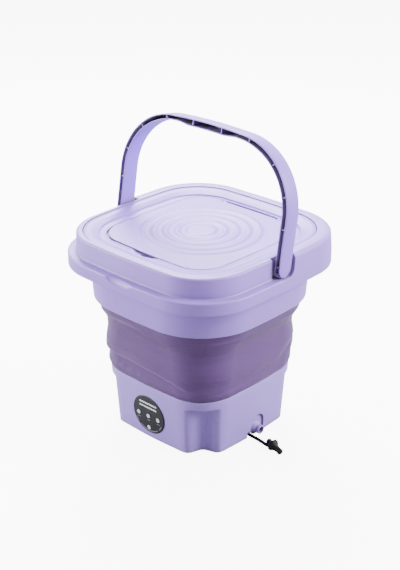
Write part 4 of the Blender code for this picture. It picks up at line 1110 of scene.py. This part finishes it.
# ---------------------------------------------------------------- base
@dataclass
class Base:
    """The tapered motor base with fluted corners, and the fittings in its walls."""

    foot_z: float = 0.0015
    top_z: float = 0.0815
    foot_half: float = 0.0914
    top_half: float = 0.0969
    foot_corner: float = 0.0415
    top_corner: float = 0.0485
    wall: float = 0.0030
    flute: float = 0.0125
    flute_top_z: float = 0.0672
    deck_z: float = 0.0700
    drain_y: float = 0.0070
    arch_half: float = 0.0130
    arch_top_z: float = 0.0310
    notch_left_y: float = -0.0110
    notch_height: float = 0.0110
    jack_radius: float = 0.0063
    jack_z: float = 0.0300
    steps: dict[str, int] = field(default_factory=lambda: {"corner_steps": 64, "side_steps": 16})

    def ring(self, z: float, inset: float = 0.0, flute: float = 0.0) -> np.ndarray:
        """A ring of the tapered wall.

        Args:
            z: its height.
            inset: how far inside the outer face it is.
            flute: how deep the corner flutes are there.

        Returns:
            Rows of (x, y, z).
        """
        share = (z - self.foot_z) / (self.top_z - self.foot_z)
        half = self.foot_half + (self.top_half - self.foot_half) * share - inset
        corner = self.foot_corner + (self.top_corner - self.foot_corner) * share - inset
        return Outline(half, corner, flute=flute).points(z, **self.steps)

    def flute_depth(self, z: float) -> float:
        """How deep the corner flutes are at a height: full below the collar, then fading out."""
        low, high = self.flute_top_z - 0.0006, self.flute_top_z + 0.0022
        return self.flute * float(1 - smoothstep(low, high, np.array(z)))

    def face_distance(self, z: float) -> float:
        """How far the middle of each side stands from the axis at a height."""
        share = (z - self.foot_z) / (self.top_z - self.foot_z)
        return self.foot_half + (self.top_half - self.foot_half) * share + SIDE_BOW

    def arch(self, margin: float, floor_z: float, notch_y: float) -> list[tuple[float, float]]:
        """The drain's opening seen along X, as (y, z).

        Args:
            margin: how much larger than the opening it is.
            floor_z: where it stops below.
            notch_y: the side of its lower step.

        Returns:
            Its corners in order.
        """
        radius = self.arch_half + margin
        spring_z = self.arch_top_z - self.arch_half
        angles = np.linspace(0, math.pi, 40)
        points = [(self.drain_y + radius, floor_z)]
        points += [(self.drain_y + radius * math.cos(a), spring_z + radius * math.sin(a)) for a in angles]
        step_z = self.notch_height + margin
        points += [(self.drain_y - radius, step_z), (notch_y - margin, step_z), (notch_y - margin, floor_z)]
        return points

    @property
    def taper(self) -> float:
        """The lean of the side walls, in radians."""
        return math.atan2(self.top_half - self.foot_half, self.top_z - self.foot_z)

    def shell(self) -> Piece:
        """The base's wall and deck, with the windows of its fittings.

        Returns:
            The shell.
        """
        heights = [*np.linspace(0.006, self.flute_top_z - 0.001, 12)]
        heights += [*np.linspace(self.flute_top_z - 0.0006, self.flute_top_z + 0.0022, 9), 0.0740]
        deck_foot = self.deck_z - 0.003
        outside = [
            (self.foot_z + 0.0002, 0.0010, self.flute),
            (self.foot_z + 0.0010, 0.0, self.flute),
            *((z, 0.0, self.flute_depth(z)) for z in heights),
            (self.top_z - 0.0012,),
            (self.top_z - 0.0004, 0.0003),
            (self.top_z, 0.0012),
            (self.top_z, self.wall),
            (self.deck_z, self.wall),
        ]
        hub, hub_radius = Outline(0.1, 0.05), 0.0088
        hole = [circle_like(hub, hub_radius, z, **self.steps) for z in (self.deck_z, deck_foot)]
        inside = [(z, self.wall, self.flute) for z in (deck_foot, 0.035, self.foot_z + 0.0002)]
        rings = [self.ring(*values) for values in outside] + hole + [self.ring(*values) for values in inside]
        body = loft("base_walls", rings)
        out = Vector((0, -math.cos(self.taper), -math.sin(self.taper)))
        middle = Vector((0, -self.face_distance(PANEL_Z), PANEL_Z))
        window = rod("panel_window", PANEL_RADIUS + 0.0003, middle - out * 0.012, middle + out * 0.006, 128)
        opening = prism("arch_window", self.arch(0.0, self.foot_z - 0.004, self.notch_left_y), 0.075, 0.115)
        jack = rod("jack_window", self.jack_radius, (0, 0.080, self.jack_z), (0, 0.110, self.jack_z))
        return carved(body, [window, opening, jack])

    def build(self, shop: Workshop) -> None:
        """Build the base."""
        shop.fit(self.shell(), Finishes.LAVENDER_BASE_PAINTED_LIGHT, "base", ["base_shell"])


@dataclass
class Drain:
    """The arched drain insert with its cone and its bored nozzle."""

    base: Base
    z: float = 0.0105
    plate_x: float = 0.0920
    tip_x: float = 0.1020
    tip_radius: float = 0.0060
    bore: float = 0.0044
    cone_radius: float = 0.0088

    def build(self, shop: Workshop) -> None:
        """Build the drain.

        Args:
            shop: the workshop.
        """
        base = self.base
        low_side = base.drain_y - base.arch_half
        outline = base.arch(-0.0003, 0.0062, low_side)
        plate = prism("nozzle_plate", outline, self.plate_x - 0.004, self.plate_x)
        place = facing((self.plate_x, base.drain_y, self.z), (self.plate_x + 1, base.drain_y, self.z))
        length = self.tip_x - self.plate_x
        ring_at = length - 0.0046
        profile = [
            (0, -0.004, 0),
            (self.bore, -0.004, 0.0001),
            (self.bore, length, 0.0003),
            (self.tip_radius, length, 0.0007),
            (self.tip_radius, ring_at, 0.0003),
            (self.tip_radius - 0.0009, ring_at - 0.0002, 0.0006),
            (self.cone_radius, 0.0004, 0.0012),
            (self.cone_radius + 0.0012, -0.001, 0.0002),
            (0, -0.001, 0),
        ]
        nozzle = turned("nozzle_spout", profile, place)
        body = joined("drain_spout", [plate, nozzle])
        shop.fit(body, Finishes.LAVENDER_BASE_PAINTED_LIGHT, "base", ["drain_nozzle"])


# ---------------------------------------------------------------- control panel
def row_of_marks(
    name: str, widths: Sequence[float], height: float, gap: float, finish: bpy.types.Material
) -> Piece:
    """Lay a row of thin printed bars along X with Geometry Nodes.

    Args:
        name: the object's name.
        widths: each bar's width.
        height: the bars' height.
        gap: the space between bars.
        finish: the ink's material.

    Returns:
        A mesh centred on the origin, in the XY plane.
    """
    total = sum(widths) + gap * (len(widths) - 1)
    centres, scales, cursor = [], [], -total / 2
    for width in widths:
        centres.append((cursor + width / 2, 0.0, 0.0))
        scales.append(width)
        cursor += width + gap
    mesh = bpy.data.meshes.new(name)
    mesh.from_pydata(centres, [], [])
    attribute = mesh.attributes.new("width", "FLOAT", "POINT")
    attribute.data.foreach_set("value", np.array(scales, np.float32))
    obj = linked(name, mesh)
    group = bpy.data.node_groups.new(f"{name}_bars", "GeometryNodeTree")
    group.interface.new_socket("Geometry", in_out="INPUT", socket_type="NodeSocketGeometry")
    group.interface.new_socket("Geometry", in_out="OUTPUT", socket_type="NodeSocketGeometry")
    tall = group.interface.new_socket("Height", in_out="INPUT", socket_type="NodeSocketFloat")
    source = add_node(group, "NodeGroupInput")
    width = add_node(group, "GeometryNodeInputNamedAttribute", {"Name": "width"}, data_type="FLOAT")
    sizes = {"X": width.outputs["Attribute"], "Y": source.outputs["Height"], "Z": 1.0}
    scale = add_node(group, "ShaderNodeCombineXYZ", sizes)
    bar = add_node(group, "GeometryNodeMeshCube", {"Size": (1.0, 1.0, 0.00008)})
    copies = add_node(
        group,
        "GeometryNodeInstanceOnPoints",
        {
            "Points": source.outputs["Geometry"],
            "Instance": bar.outputs["Mesh"],
            "Scale": scale.outputs["Vector"],
        },
    )
    real = add_node(group, "GeometryNodeRealizeInstances", {"Geometry": copies.outputs["Instances"]})
    dressed = {"Geometry": real.outputs["Geometry"], "Material": finish}
    inked = add_node(group, "GeometryNodeSetMaterial", dressed)
    add_node(group, "NodeGroupOutput", {"Geometry": inked.outputs["Geometry"]})
    modifier = obj.modifiers.new("bars", "NODES")
    modifier.node_group = group
    modifier[tall.identifier] = height
    return baked(obj)


@dataclass
class ControlPanel:
    """The round overlay with its keys and its plain printed marks."""

    base: Base
    proud: float = 0.0006
    key_radius: float = 0.0029
    key_proud: float = 0.0011

    def place(self) -> Matrix:
        """The panel's frame: X across, Y up the sloping face, and Z out of it.

        Returns:
            The frame.
        """
        taper = self.base.taper
        axes = Matrix(
            (
                (1, 0, 0, 0),
                (0, -math.sin(taper), -math.cos(taper), 0),
                (0, math.cos(taper), -math.sin(taper), 0),
                (0, 0, 0, 1),
            )
        )
        return Matrix.Translation((0, -self.base.face_distance(PANEL_Z), PANEL_Z)) @ axes

    def arc(self, name: str, radius: float, start: float, end: float, width: float) -> Piece:
        """A thin printed arc on the overlay.

        Args:
            name: the object's name.
            radius: its radius.
            start: its first angle in degrees.
            end: its last angle in degrees.
            width: the line's width.

        Returns:
            The arc, flat in the XY plane.
        """
        angles = np.radians(np.linspace(start, end, 48))
        rings = []
        for angle in angles:
            way = np.array((math.cos(angle), math.sin(angle), 0.0))
            inner, outer = way * (radius - width / 2), way * (radius + width / 2)
            lift = np.array((0, 0, 0.00004))
            rings.append(np.array((inner - lift, outer - lift, outer + lift, inner + lift)))
        return loft(name, rings, closed=False)

    def marks(self, shop: Workshop) -> None:
        """Print the plain marks.

        Args:
            shop: the workshop.
        """
        face = self.place() @ Matrix.Translation((0, 0, self.proud + 0.00004))
        ink = shop.material(Finishes.INK)
        # bars of uneven width that stand in for a heading
        heading = [0.0029, 0.0024, 0.0024, 0.0029, 0.0024, 0.0020, 0.0024, 0.0029, 0.0024]
        rows = [("heading_upper", heading, 0.0164), ("heading_lower", heading[::-1], 0.0106)]
        for name, widths, up in rows:
            row = row_of_marks(name, widths, 0.0023, 0.0009, ink)
            row.data.transform(face @ Matrix.Translation((0, up, 0)))
            shop.fit(row, Finishes.INK, "base")
        faint = []
        for across, up in ((-0.0172, -0.0086), (0.0, -0.0086), (0.0172, -0.0086)):
            row = row_of_marks(f"legend_{len(faint)}", [0.0016, 0.0010, 0.0014], 0.0011, 0.0005, ink)
            row.data.transform(face @ Matrix.Translation((across, up, 0)))
            faint.append(row)
        for name, start, end in (("arc_low", 232, 308), ("arc_left", 205, 222), ("arc_right", 318, 335)):
            arc = self.arc(name, PANEL_RADIUS - 0.0032, start, end, 0.0009)
            arc.data.transform(face)
            faint.append(arc)
        legends = joined("panel_legends", faint)
        shop.fit(legends, Finishes.FAINT_INK, "base")

    def build(self, shop: Workshop) -> None:
        """Build the panel and its keys.

        Args:
            shop: the workshop.
        """
        place = self.place()
        profile = [
            (0, self.proud, 0),
            (PANEL_RADIUS - 0.0012, self.proud, 0.0004),
            (PANEL_RADIUS, self.proud - 0.0006, 0.0004),
            (PANEL_RADIUS, -0.0034, 0),
            (0, -0.0034, 0),
        ]
        overlay = turned("panel_overlay", profile, place, 160)
        keys = {
            "time": (-0.0172, -0.0020),
            "wash": (0.0, -0.0020),
            "spin": (0.0172, -0.0020),
            "power": (0.0, -0.0192),
        }
        holes = []
        for name, (across, up) in keys.items():
            start, end = place @ Vector((across, up, -0.01)), place @ Vector((across, up, 0.01))
            holes.append(rod(f"hole_{name}", self.key_radius + 0.0002, start, end, 64))
        overlay = carved(overlay, holes)
        shop.fit(overlay, Finishes.PANEL, "base", ["control_panel"])
        for name, (across, up) in keys.items():
            self.key(shop, name, place @ Matrix.Translation((across, up, 0)))
        self.marks(shop)

    def key(self, shop: Workshop, name: str, place: Matrix) -> None:
        """Build one key, with a shallow dish and a plain raised mark.

        Args:
            shop: the workshop.
            name: the key's name.
            place: the key's frame.
        """
        top = self.key_proud + self.proud
        profile = [
            (0, top - 0.0003, 0),
            (self.key_radius - 0.0010, top - 0.0003, 0.0008),
            (self.key_radius - 0.0006, top, 0.0003),
            (self.key_radius, top - 0.0004, 0.0004),
            (self.key_radius, -0.0034, 0),
            (0, -0.0034, 0),
        ]
        cap = turned(f"key_{name}", profile, place, 64)
        shop.fit(cap, Finishes.BUTTON, f"button_{name}", [f"button_{name}"])
        mark = row_of_marks(f"key_mark_{name}", [0.0022], 0.0007, 0.0, shop.material(Finishes.FAINT_INK))
        mark.data.transform(place @ Matrix.Translation((0, 0, top - 0.00026)))
        shop.fit(mark, Finishes.FAINT_INK, f"button_{name}")


# ---------------------------------------------------------------- bellows
@dataclass
class Bellows:
    """The soft folding wall between the base and the rim."""

    low_z: float = 0.0818
    high_z: float = 0.1890
    wall: float = 0.0020
    travel: float = 0.0880
    # height, half width, corner radius
    profile: tuple[tuple[float, float, float], ...] = (
        (0.0818, 0.0963, 0.0485),
        (0.0850, 0.0981, 0.0490),
        (0.0890, 0.0989, 0.0492),
        (0.0950, 0.0988, 0.0495),
        (0.1020, 0.0994, 0.0500),
        (0.1120, 0.1014, 0.0520),
        (0.1230, 0.1016, 0.0530),
        (0.1370, 0.1004, 0.0540),
        (0.1480, 0.1012, 0.0560),
        (0.1560, 0.1046, 0.0600),
        (0.1630, 0.1094, 0.0670),
        (0.1670, 0.1113, 0.0700),
        (0.1700, 0.1115, 0.0715),
        (0.1780, 0.1140, 0.0740),
        (0.1820, 0.1164, 0.0757),
        (0.1890, 0.1164, 0.0757),
    )

    def waves(self, points: np.ndarray) -> tuple[np.ndarray, np.ndarray]:
        """The creases and dents of the soft wall.

        Args:
            points: rows of (x, y, z) on the smooth wall.

        Returns:
            How far each point moves out, and how strong the painted highlight is there, from 0 to 1.
        """
        x, y, z = points.T
        millimetres = z * 1000
        free = smoothstep(0.0818, 0.0900, z) * (1 - smoothstep(0.1700, 0.1790, z))
        move = np.zeros(len(points))
        painted_highlight = np.zeros(len(points))
        sides = (
            (x * 1000, -y, 1.0, ((-95, 105), (-60, 108), (-20, 108), (20, 105), (50, 100), (78, 92))),
            (y * 1000, x, 0.22, ((-95, 92), (-40, 97), (10, 101), (60, 104), (95, 103))),
            (-x * 1000, y, 0.8, ((-95, 104), (-40, 107), (10, 104), (60, 98), (95, 95))),
            (-y * 1000, -x, 0.6, ((-95, 96), (-40, 100), (10, 105), (60, 106), (95, 104))),
        )
        for along, out, strength, crease in sides:
            facing_side = smoothstep(0.62, 0.80, out / np.maximum(np.hypot(x, y), 1e-6))
            across, height = zip(*crease, strict=True)
            line = np.interp(along, across, height)
            near_end = 1 - smoothstep(58, 80, along)
            above = millimetres - line
            # in millimetres: a sharp drop just below the ridge, and a slow recovery to the seam
            heights, steps = (-17.5, -8.0, -1.5, 0.2, 2.0, 5.0, 13.0), (0.0, -1.4, -2.6, -0.8, 1.3, 0.9, 0.0)
            crease_profile = np.interp(above, heights, steps)
            move += facing_side * strength * 0.001 * crease_profile * (0.25 + 0.75 * near_end)
            wrinkled = bump(along, -25, 30) * bump(above, -14, 4.0)
            wrinkled = wrinkled * np.sin(along * 0.42 + 0.9 * np.sin(along * 0.11))
            move += facing_side * strength * 0.0003 * wrinkled
            # painted highlight along the ridge just above each crease, strongest on the front face
            painted_highlight += facing_side * strength**2 * 0.34 * bump(above, 2.2, 2.0) * (0.2 + 0.8 * near_end)
        dent = bump(y * 1000, 58, 13) * bump(millimetres, 109 + (y * 1000 - 58) * 0.35, 7.5) * (x > 0)
        lip = bump(y * 1000, 62, 14) * bump(millimetres, 118 + (y * 1000 - 58) * 0.3, 4.0) * (x > 0)
        move += -0.0034 * dent + 0.0012 * lip
        # painted highlight on the lip above the dent
        painted_highlight += 0.4 * lip
        angle = np.arctan2(y, x)
        fold = 166.6 + 0.7 * np.sin(3 * angle + 0.6)
        front = smoothstep(0.7, 0.9, -y / np.maximum(np.hypot(x, y), 1e-6))
        seen = front * smoothstep(0.020, -0.030, x)
        folded = 0.0010 * bump(millimetres, fold, 2.2) - 0.0008 * bump(millimetres, fold - 5.0, 3.2)
        move += (0.4 + 0.6 * seen) * folded
        # painted highlight along the upper fold on the front-left
        painted_highlight += 0.42 * seen * bump(millimetres, fold - 0.3, 1.6)
        slow = 0.0005 * np.sin(3 * angle + millimetres * 0.11) * np.sin(millimetres * 0.09)
        return (move + slow) * free, np.clip(painted_highlight * free, 0, 1)

    def build(self, shop: Workshop) -> None:
        """Build the bellows.

        Args:
            shop: the workshop.
        """
        table = np.array(self.profile)
        heights = np.linspace(self.low_z, self.high_z, 150)
        outer, inner, painted_highlights = [], [], []
        kernel = np.array((1, 3, 5, 6, 5, 3, 1)) / 24
        halves = np.interp(heights, table[:, 0], table[:, 1])
        corners = np.interp(heights, table[:, 0], table[:, 2])
        halves = np.convolve(np.pad(halves, 3, mode="edge"), kernel, mode="valid")
        corners = np.convolve(np.pad(corners, 3, mode="edge"), kernel, mode="valid")
        for z, half, corner in zip(heights, halves, corners, strict=True):
            outline = Outline(half, corner).points(z, corner_steps=52, side_steps=40)
            move, painted_highlight = self.waves(outline)
            flat = outline[:, :2]
            way = flat / np.linalg.norm(flat, axis=1, keepdims=True)
            ring = outline.copy()
            ring[:, :2] = flat + way * move[:, None]
            inside = outline.copy()
            inside[:, :2] = flat + way * (move - self.wall)[:, None]
            outer.append(ring)
            inner.append(inside)
            painted_highlights.append(painted_highlight)
        body = loft("bellows_skin", [*outer, *inner[::-1]], sharp=70.0)
        lookup = {}
        for ring, painted_highlight in zip(outer, painted_highlights, strict=True):
            for point, value in zip(ring, painted_highlight, strict=True):
                lookup[tuple(np.round(point, 5))] = value
        values = [lookup.get(tuple(np.round(np.array(vert.co), 5)), 0.0) for vert in body.data.vertices]
        # each point's painted highlight, for the bellows' material
        attribute = body.data.attributes.new("painted_highlight", "FLOAT", "POINT")
        attribute.data.foreach_set("value", np.array(values, np.float32))
        shop.fit(body, Finishes.BELLOWS, "base", ["bellows"])
        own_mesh(body)


# ---------------------------------------------------------------- strap and plug
@dataclass
class StrapAndPlug:
    """The rubber strap that keeps the drain's plug, and the plug itself."""

    diameter: float = 0.0046
    route: tuple[tuple[float, float, float], ...] = (
        (0.0765, -0.0030, 0.0037),
        (0.0850, -0.0029, 0.0035),
        (0.0945, -0.0028, 0.0026),
        (0.1035, -0.0032, 0.0024),
        (0.1125, -0.0043, 0.0024),
        (0.1200, -0.0057, 0.0026),
        (0.1265, -0.0070, 0.0033),
        (0.1300, -0.0077, 0.0038),
    )
    plug_x: float = 0.1338
    plug_y: float = -0.0074
    plug_z: float = 0.0078
    heading: float = math.radians(-6)
    tilt: float = math.radians(16)

    def plug(self, shop: Workshop) -> Piece:
        """Build the plug.

        Args:
            shop: the workshop.

        Returns:
            The plug.
        """
        profile = [
            (0, 0.0104, 0),
            (0.0024, 0.0102, 0.002),
            (0.0040, 0.0084, 0.002),
            (0.0040, 0.0060, 0.002),
            (0.0026, 0.0040, 0.001),
            (0.0056, 0.0030, 0.001),
            (0.0078, 0.0014, 0.001),
            (0.0080, -0.0006, 0.0008),
            (0.0072, -0.0024, 0.001),
            (0.0054, -0.0042, 0.001),
            (0.0044, -0.0062, 0.0008),
            (0.0039, -0.0085, 0.001),
            (0.0039, -0.0150, 0.0012),
            (0.0026, -0.0162, 0.001),
            (0, -0.0162, 0),
        ]
        axis = Vector(
            (
                math.cos(self.heading) * math.cos(self.tilt),
                math.sin(self.heading) * math.cos(self.tilt),
                -math.sin(self.tilt),
            )
        )
        spot = Vector((self.plug_x, self.plug_y, self.plug_z))
        body = turned("plug_body", profile, facing(spot, spot - axis), 72)
        low = min(vert.co.z for vert in body.data.vertices)
        body.data.transform(Matrix.Translation((0, 0, 0.0002 - low)))
        return shop.fit(body, Finishes.BLACK_RUBBER, "base", ["drain_plug"])

    def build(self, shop: Workshop) -> None:
        """Args:
            shop: the workshop.
        """
        curve = bpy.data.curves.new("plug_strap", "CURVE")
        curve.dimensions = "3D"
        curve.bevel_depth = self.diameter / 2
        curve.bevel_resolution = 8
        curve.use_fill_caps = True
        curve.resolution_u = 8
        spline = curve.splines.new("BEZIER")
        spline.bezier_points.add(len(self.route) - 1)
        for knot, point in zip(spline.bezier_points, self.route, strict=True):
            knot.co = point
            knot.handle_left_type = knot.handle_right_type = "AUTO"
        strap = linked("plug_strap", curve)
        shop.fit(strap, Finishes.BLACK_RUBBER, "base", ["drain_strap"])
        plug = self.plug(shop)
        steps = zip(self.route, self.route[1:], strict=False)
        length = sum((Vector(b) - Vector(a)).length for a, b in steps)


# ---------------------------------------------------------------- plain CAD nodes
PLAIN_NODES: dict[str, Finishes] = {
    "bottom_cover": Finishes.LAVENDER,
    "lower_clamp_ring": Finishes.LAVENDER,
    "upper_clamp_ring": Finishes.LAVENDER,
    "gearbox": Finishes.WHITE,
    "pulsator": Finishes.WHITE,
    "motor": Finishes.STEEL,
    "drive_shaft": Finishes.STEEL,
    "shaft_bush": Finishes.BRONZE,
    "shaft_seal": Finishes.BLACK_RUBBER,
    "power_jack": Finishes.BLACK_RUBBER,
    "control_board": Finishes.BOARD,
    "drain_tube": Finishes.GREY_RUBBER,
    "lid_seal": Finishes.GREY_RUBBER,
}


def finish_plain_nodes(shop: Workshop) -> None:
    """Give every CAD node that is shown as it is a procedural finish.

    Args:
        shop: the workshop.
    """
    for name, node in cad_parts.items():
        finish = PLAIN_NODES.get(name)
        if finish is None:
            finish = Finishes.GREY_RUBBER if name.startswith("foot_") else Finishes.STEEL
        node.data.materials.clear()
        node.data.materials.append(shop.material(finish))


# ---------------------------------------------------------------- studio
@dataclass
class Studio:
    """A pale floor, soft lights and the camera."""

    target: tuple[float, float, float] = (0.0, 0.0, 0.18762)
    azimuth: float = math.radians(43.02)
    elevation: float = math.radians(25.18)
    distance: float = 1.58316
    lens: float = 77.98
    backdrop: float = 8.0
    dim: float = 0.43
    bright: float = 2.4

    def aimed(self, name: str, data: bpy.types.ID, spot: Vector) -> Piece:
        """Put a camera or a light at a spot, facing the target.

        Args:
            name: the object's name.
            data: the camera or the light.
            spot: where it stands.

        Returns:
            The new object.
        """
        obj = linked(name, data)
        obj.location = spot
        obj.rotation_mode = "QUATERNION"
        obj.rotation_quaternion = (Vector(self.target) - spot).to_track_quat("-Z", "Y")
        return obj

    def camera(self) -> None:
        """Set up the camera."""
        data = bpy.data.cameras.new("view")
        data.lens = self.lens
        data.sensor_width = 36.0
        data.clip_start, data.clip_end = 0.01, 50.0
        back = Vector(
            (
                math.sin(self.azimuth) * math.cos(self.elevation),
                -math.cos(self.azimuth) * math.cos(self.elevation),
                math.sin(self.elevation),
            )
        )
        bpy.context.scene.camera = self.aimed("view", data, Vector(self.target) + back * self.distance)

    def floor(self) -> None:
        """Lay the floor: white to the eye, and dim enough in its bounce to keep the sides' shading."""
        material = bpy.data.materials.new("pale_studio_floor")
        material.use_nodes = True
        tree = material.node_tree
        tree.nodes.clear()
        seen = add_node(tree, "ShaderNodeLightPath").outputs["Is Camera Ray"]
        paper = add_node(tree, "ShaderNodeBsdfDiffuse", {"Color": linear_rgba("c8c8c8")})
        glow = add_node(tree, "ShaderNodeEmission", {"Strength": self.backdrop})
        lit = {0: paper.outputs["BSDF"], 1: glow.outputs["Emission"]}
        bright = add_node(tree, "ShaderNodeAddShader", lit)
        dim = add_node(tree, "ShaderNodeBsdfDiffuse", {"Color": linear_rgba("959595")})
        mix = add_node(
            tree, "ShaderNodeMixShader", {"Fac": seen, 1: dim.outputs["BSDF"], 2: bright.outputs["Shader"]}
        )
        add_node(tree, "ShaderNodeOutputMaterial", {"Surface": mix.outputs["Shader"]})
        size = 12.0
        corners = np.array([(-size, -size, 0), (size, -size, 0), (size, size, 0), (-size, size, 0)])
        plane = mesh_object("studio_floor", corners, [(0, 1, 2, 3)])
        plane.location.z = -0.0002
        plane.data.materials.append(material)

    def light(self, name: str, spot: Point, size: float, power: float) -> None:
        """Hang a soft square light that faces the object.

        Args:
            name: its name.
            spot: where it hangs.
            size: its side.
            power: its power in watts.
        """
        data = bpy.data.lights.new(name, "AREA")
        data.size = size
        data.energy = power
        self.aimed(name, data, Vector(spot))

    def world(self) -> None:
        """Surround the object with soft light that is dimmest on the side that the camera is on."""
        world = bpy.data.worlds.new("studio")
        world.use_nodes = True
        tree = world.node_tree
        tree.nodes.clear()
        way = add_node(tree, "ShaderNodeTexCoord").outputs["Generated"]
        behind = (-math.sin(self.azimuth), math.cos(self.azimuth), 0.35)
        facing_back = add_node(tree, "ShaderNodeVectorMath", {0: way, 1: behind}, operation="DOT_PRODUCT")
        level = add_node(
            tree,
            "ShaderNodeMapRange",
            {
                "Value": facing_back.outputs["Value"],
                "From Min": -0.5,
                "From Max": 0.9,
                "To Min": self.dim,
                "To Max": self.bright,
            },
            interpolation_type="SMOOTHSTEP",
        )
        wrap = add_node(tree, "ShaderNodeBackground", {"Strength": level.outputs["Result"]})
        wrap.inputs["Color"].default_value = (1.0, 1.0, 1.0, 1.0)
        strength = self.backdrop + 1.5
        paper = add_node(tree, "ShaderNodeBackground", {"Color": (1.0, 1.0, 1.0, 1.0), "Strength": strength})
        seen = add_node(tree, "ShaderNodeLightPath").outputs["Is Camera Ray"]
        mix = add_node(
            tree,
            "ShaderNodeMixShader",
            {"Fac": seen, 1: wrap.outputs["Background"], 2: paper.outputs["Background"]},
        )
        add_node(tree, "ShaderNodeOutputWorld", {"Surface": mix.outputs["Shader"]})
        bpy.context.scene.world = world

    def build(self) -> None:
        """Set up the whole studio."""
        self.camera()
        self.floor()
        self.world()
        self.light("top_light", (-0.95, 0.80, 1.45), 0.75, 92.0)
        self.light("right_light", (1.7, 1.05, 1.25), 1.0, 105.0)
        self.light("left_light", (-1.75, -1.5, 0.65), 1.2, 100.0)


def main() -> None:
    """Build the whole scene."""
    logging.basicConfig(level=logging.INFO)
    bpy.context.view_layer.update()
    shop = Workshop()
    Studio().build()
    base = Base()
    parts: list[Callable[[Workshop], None]] = [
        StrapAndPlug().build,
        finish_plain_nodes,
        base.build,
        Drain(base).build,
        ControlPanel(base).build,
        Bellows().build,
        Rim().build,
        Lid().build,
        Flap().build,
        Handle().build,
    ]
    for build in parts:
        build(shop)
    log.info("built %d finishes", len(shop.materials))


if __name__ == "__main__":
    main()
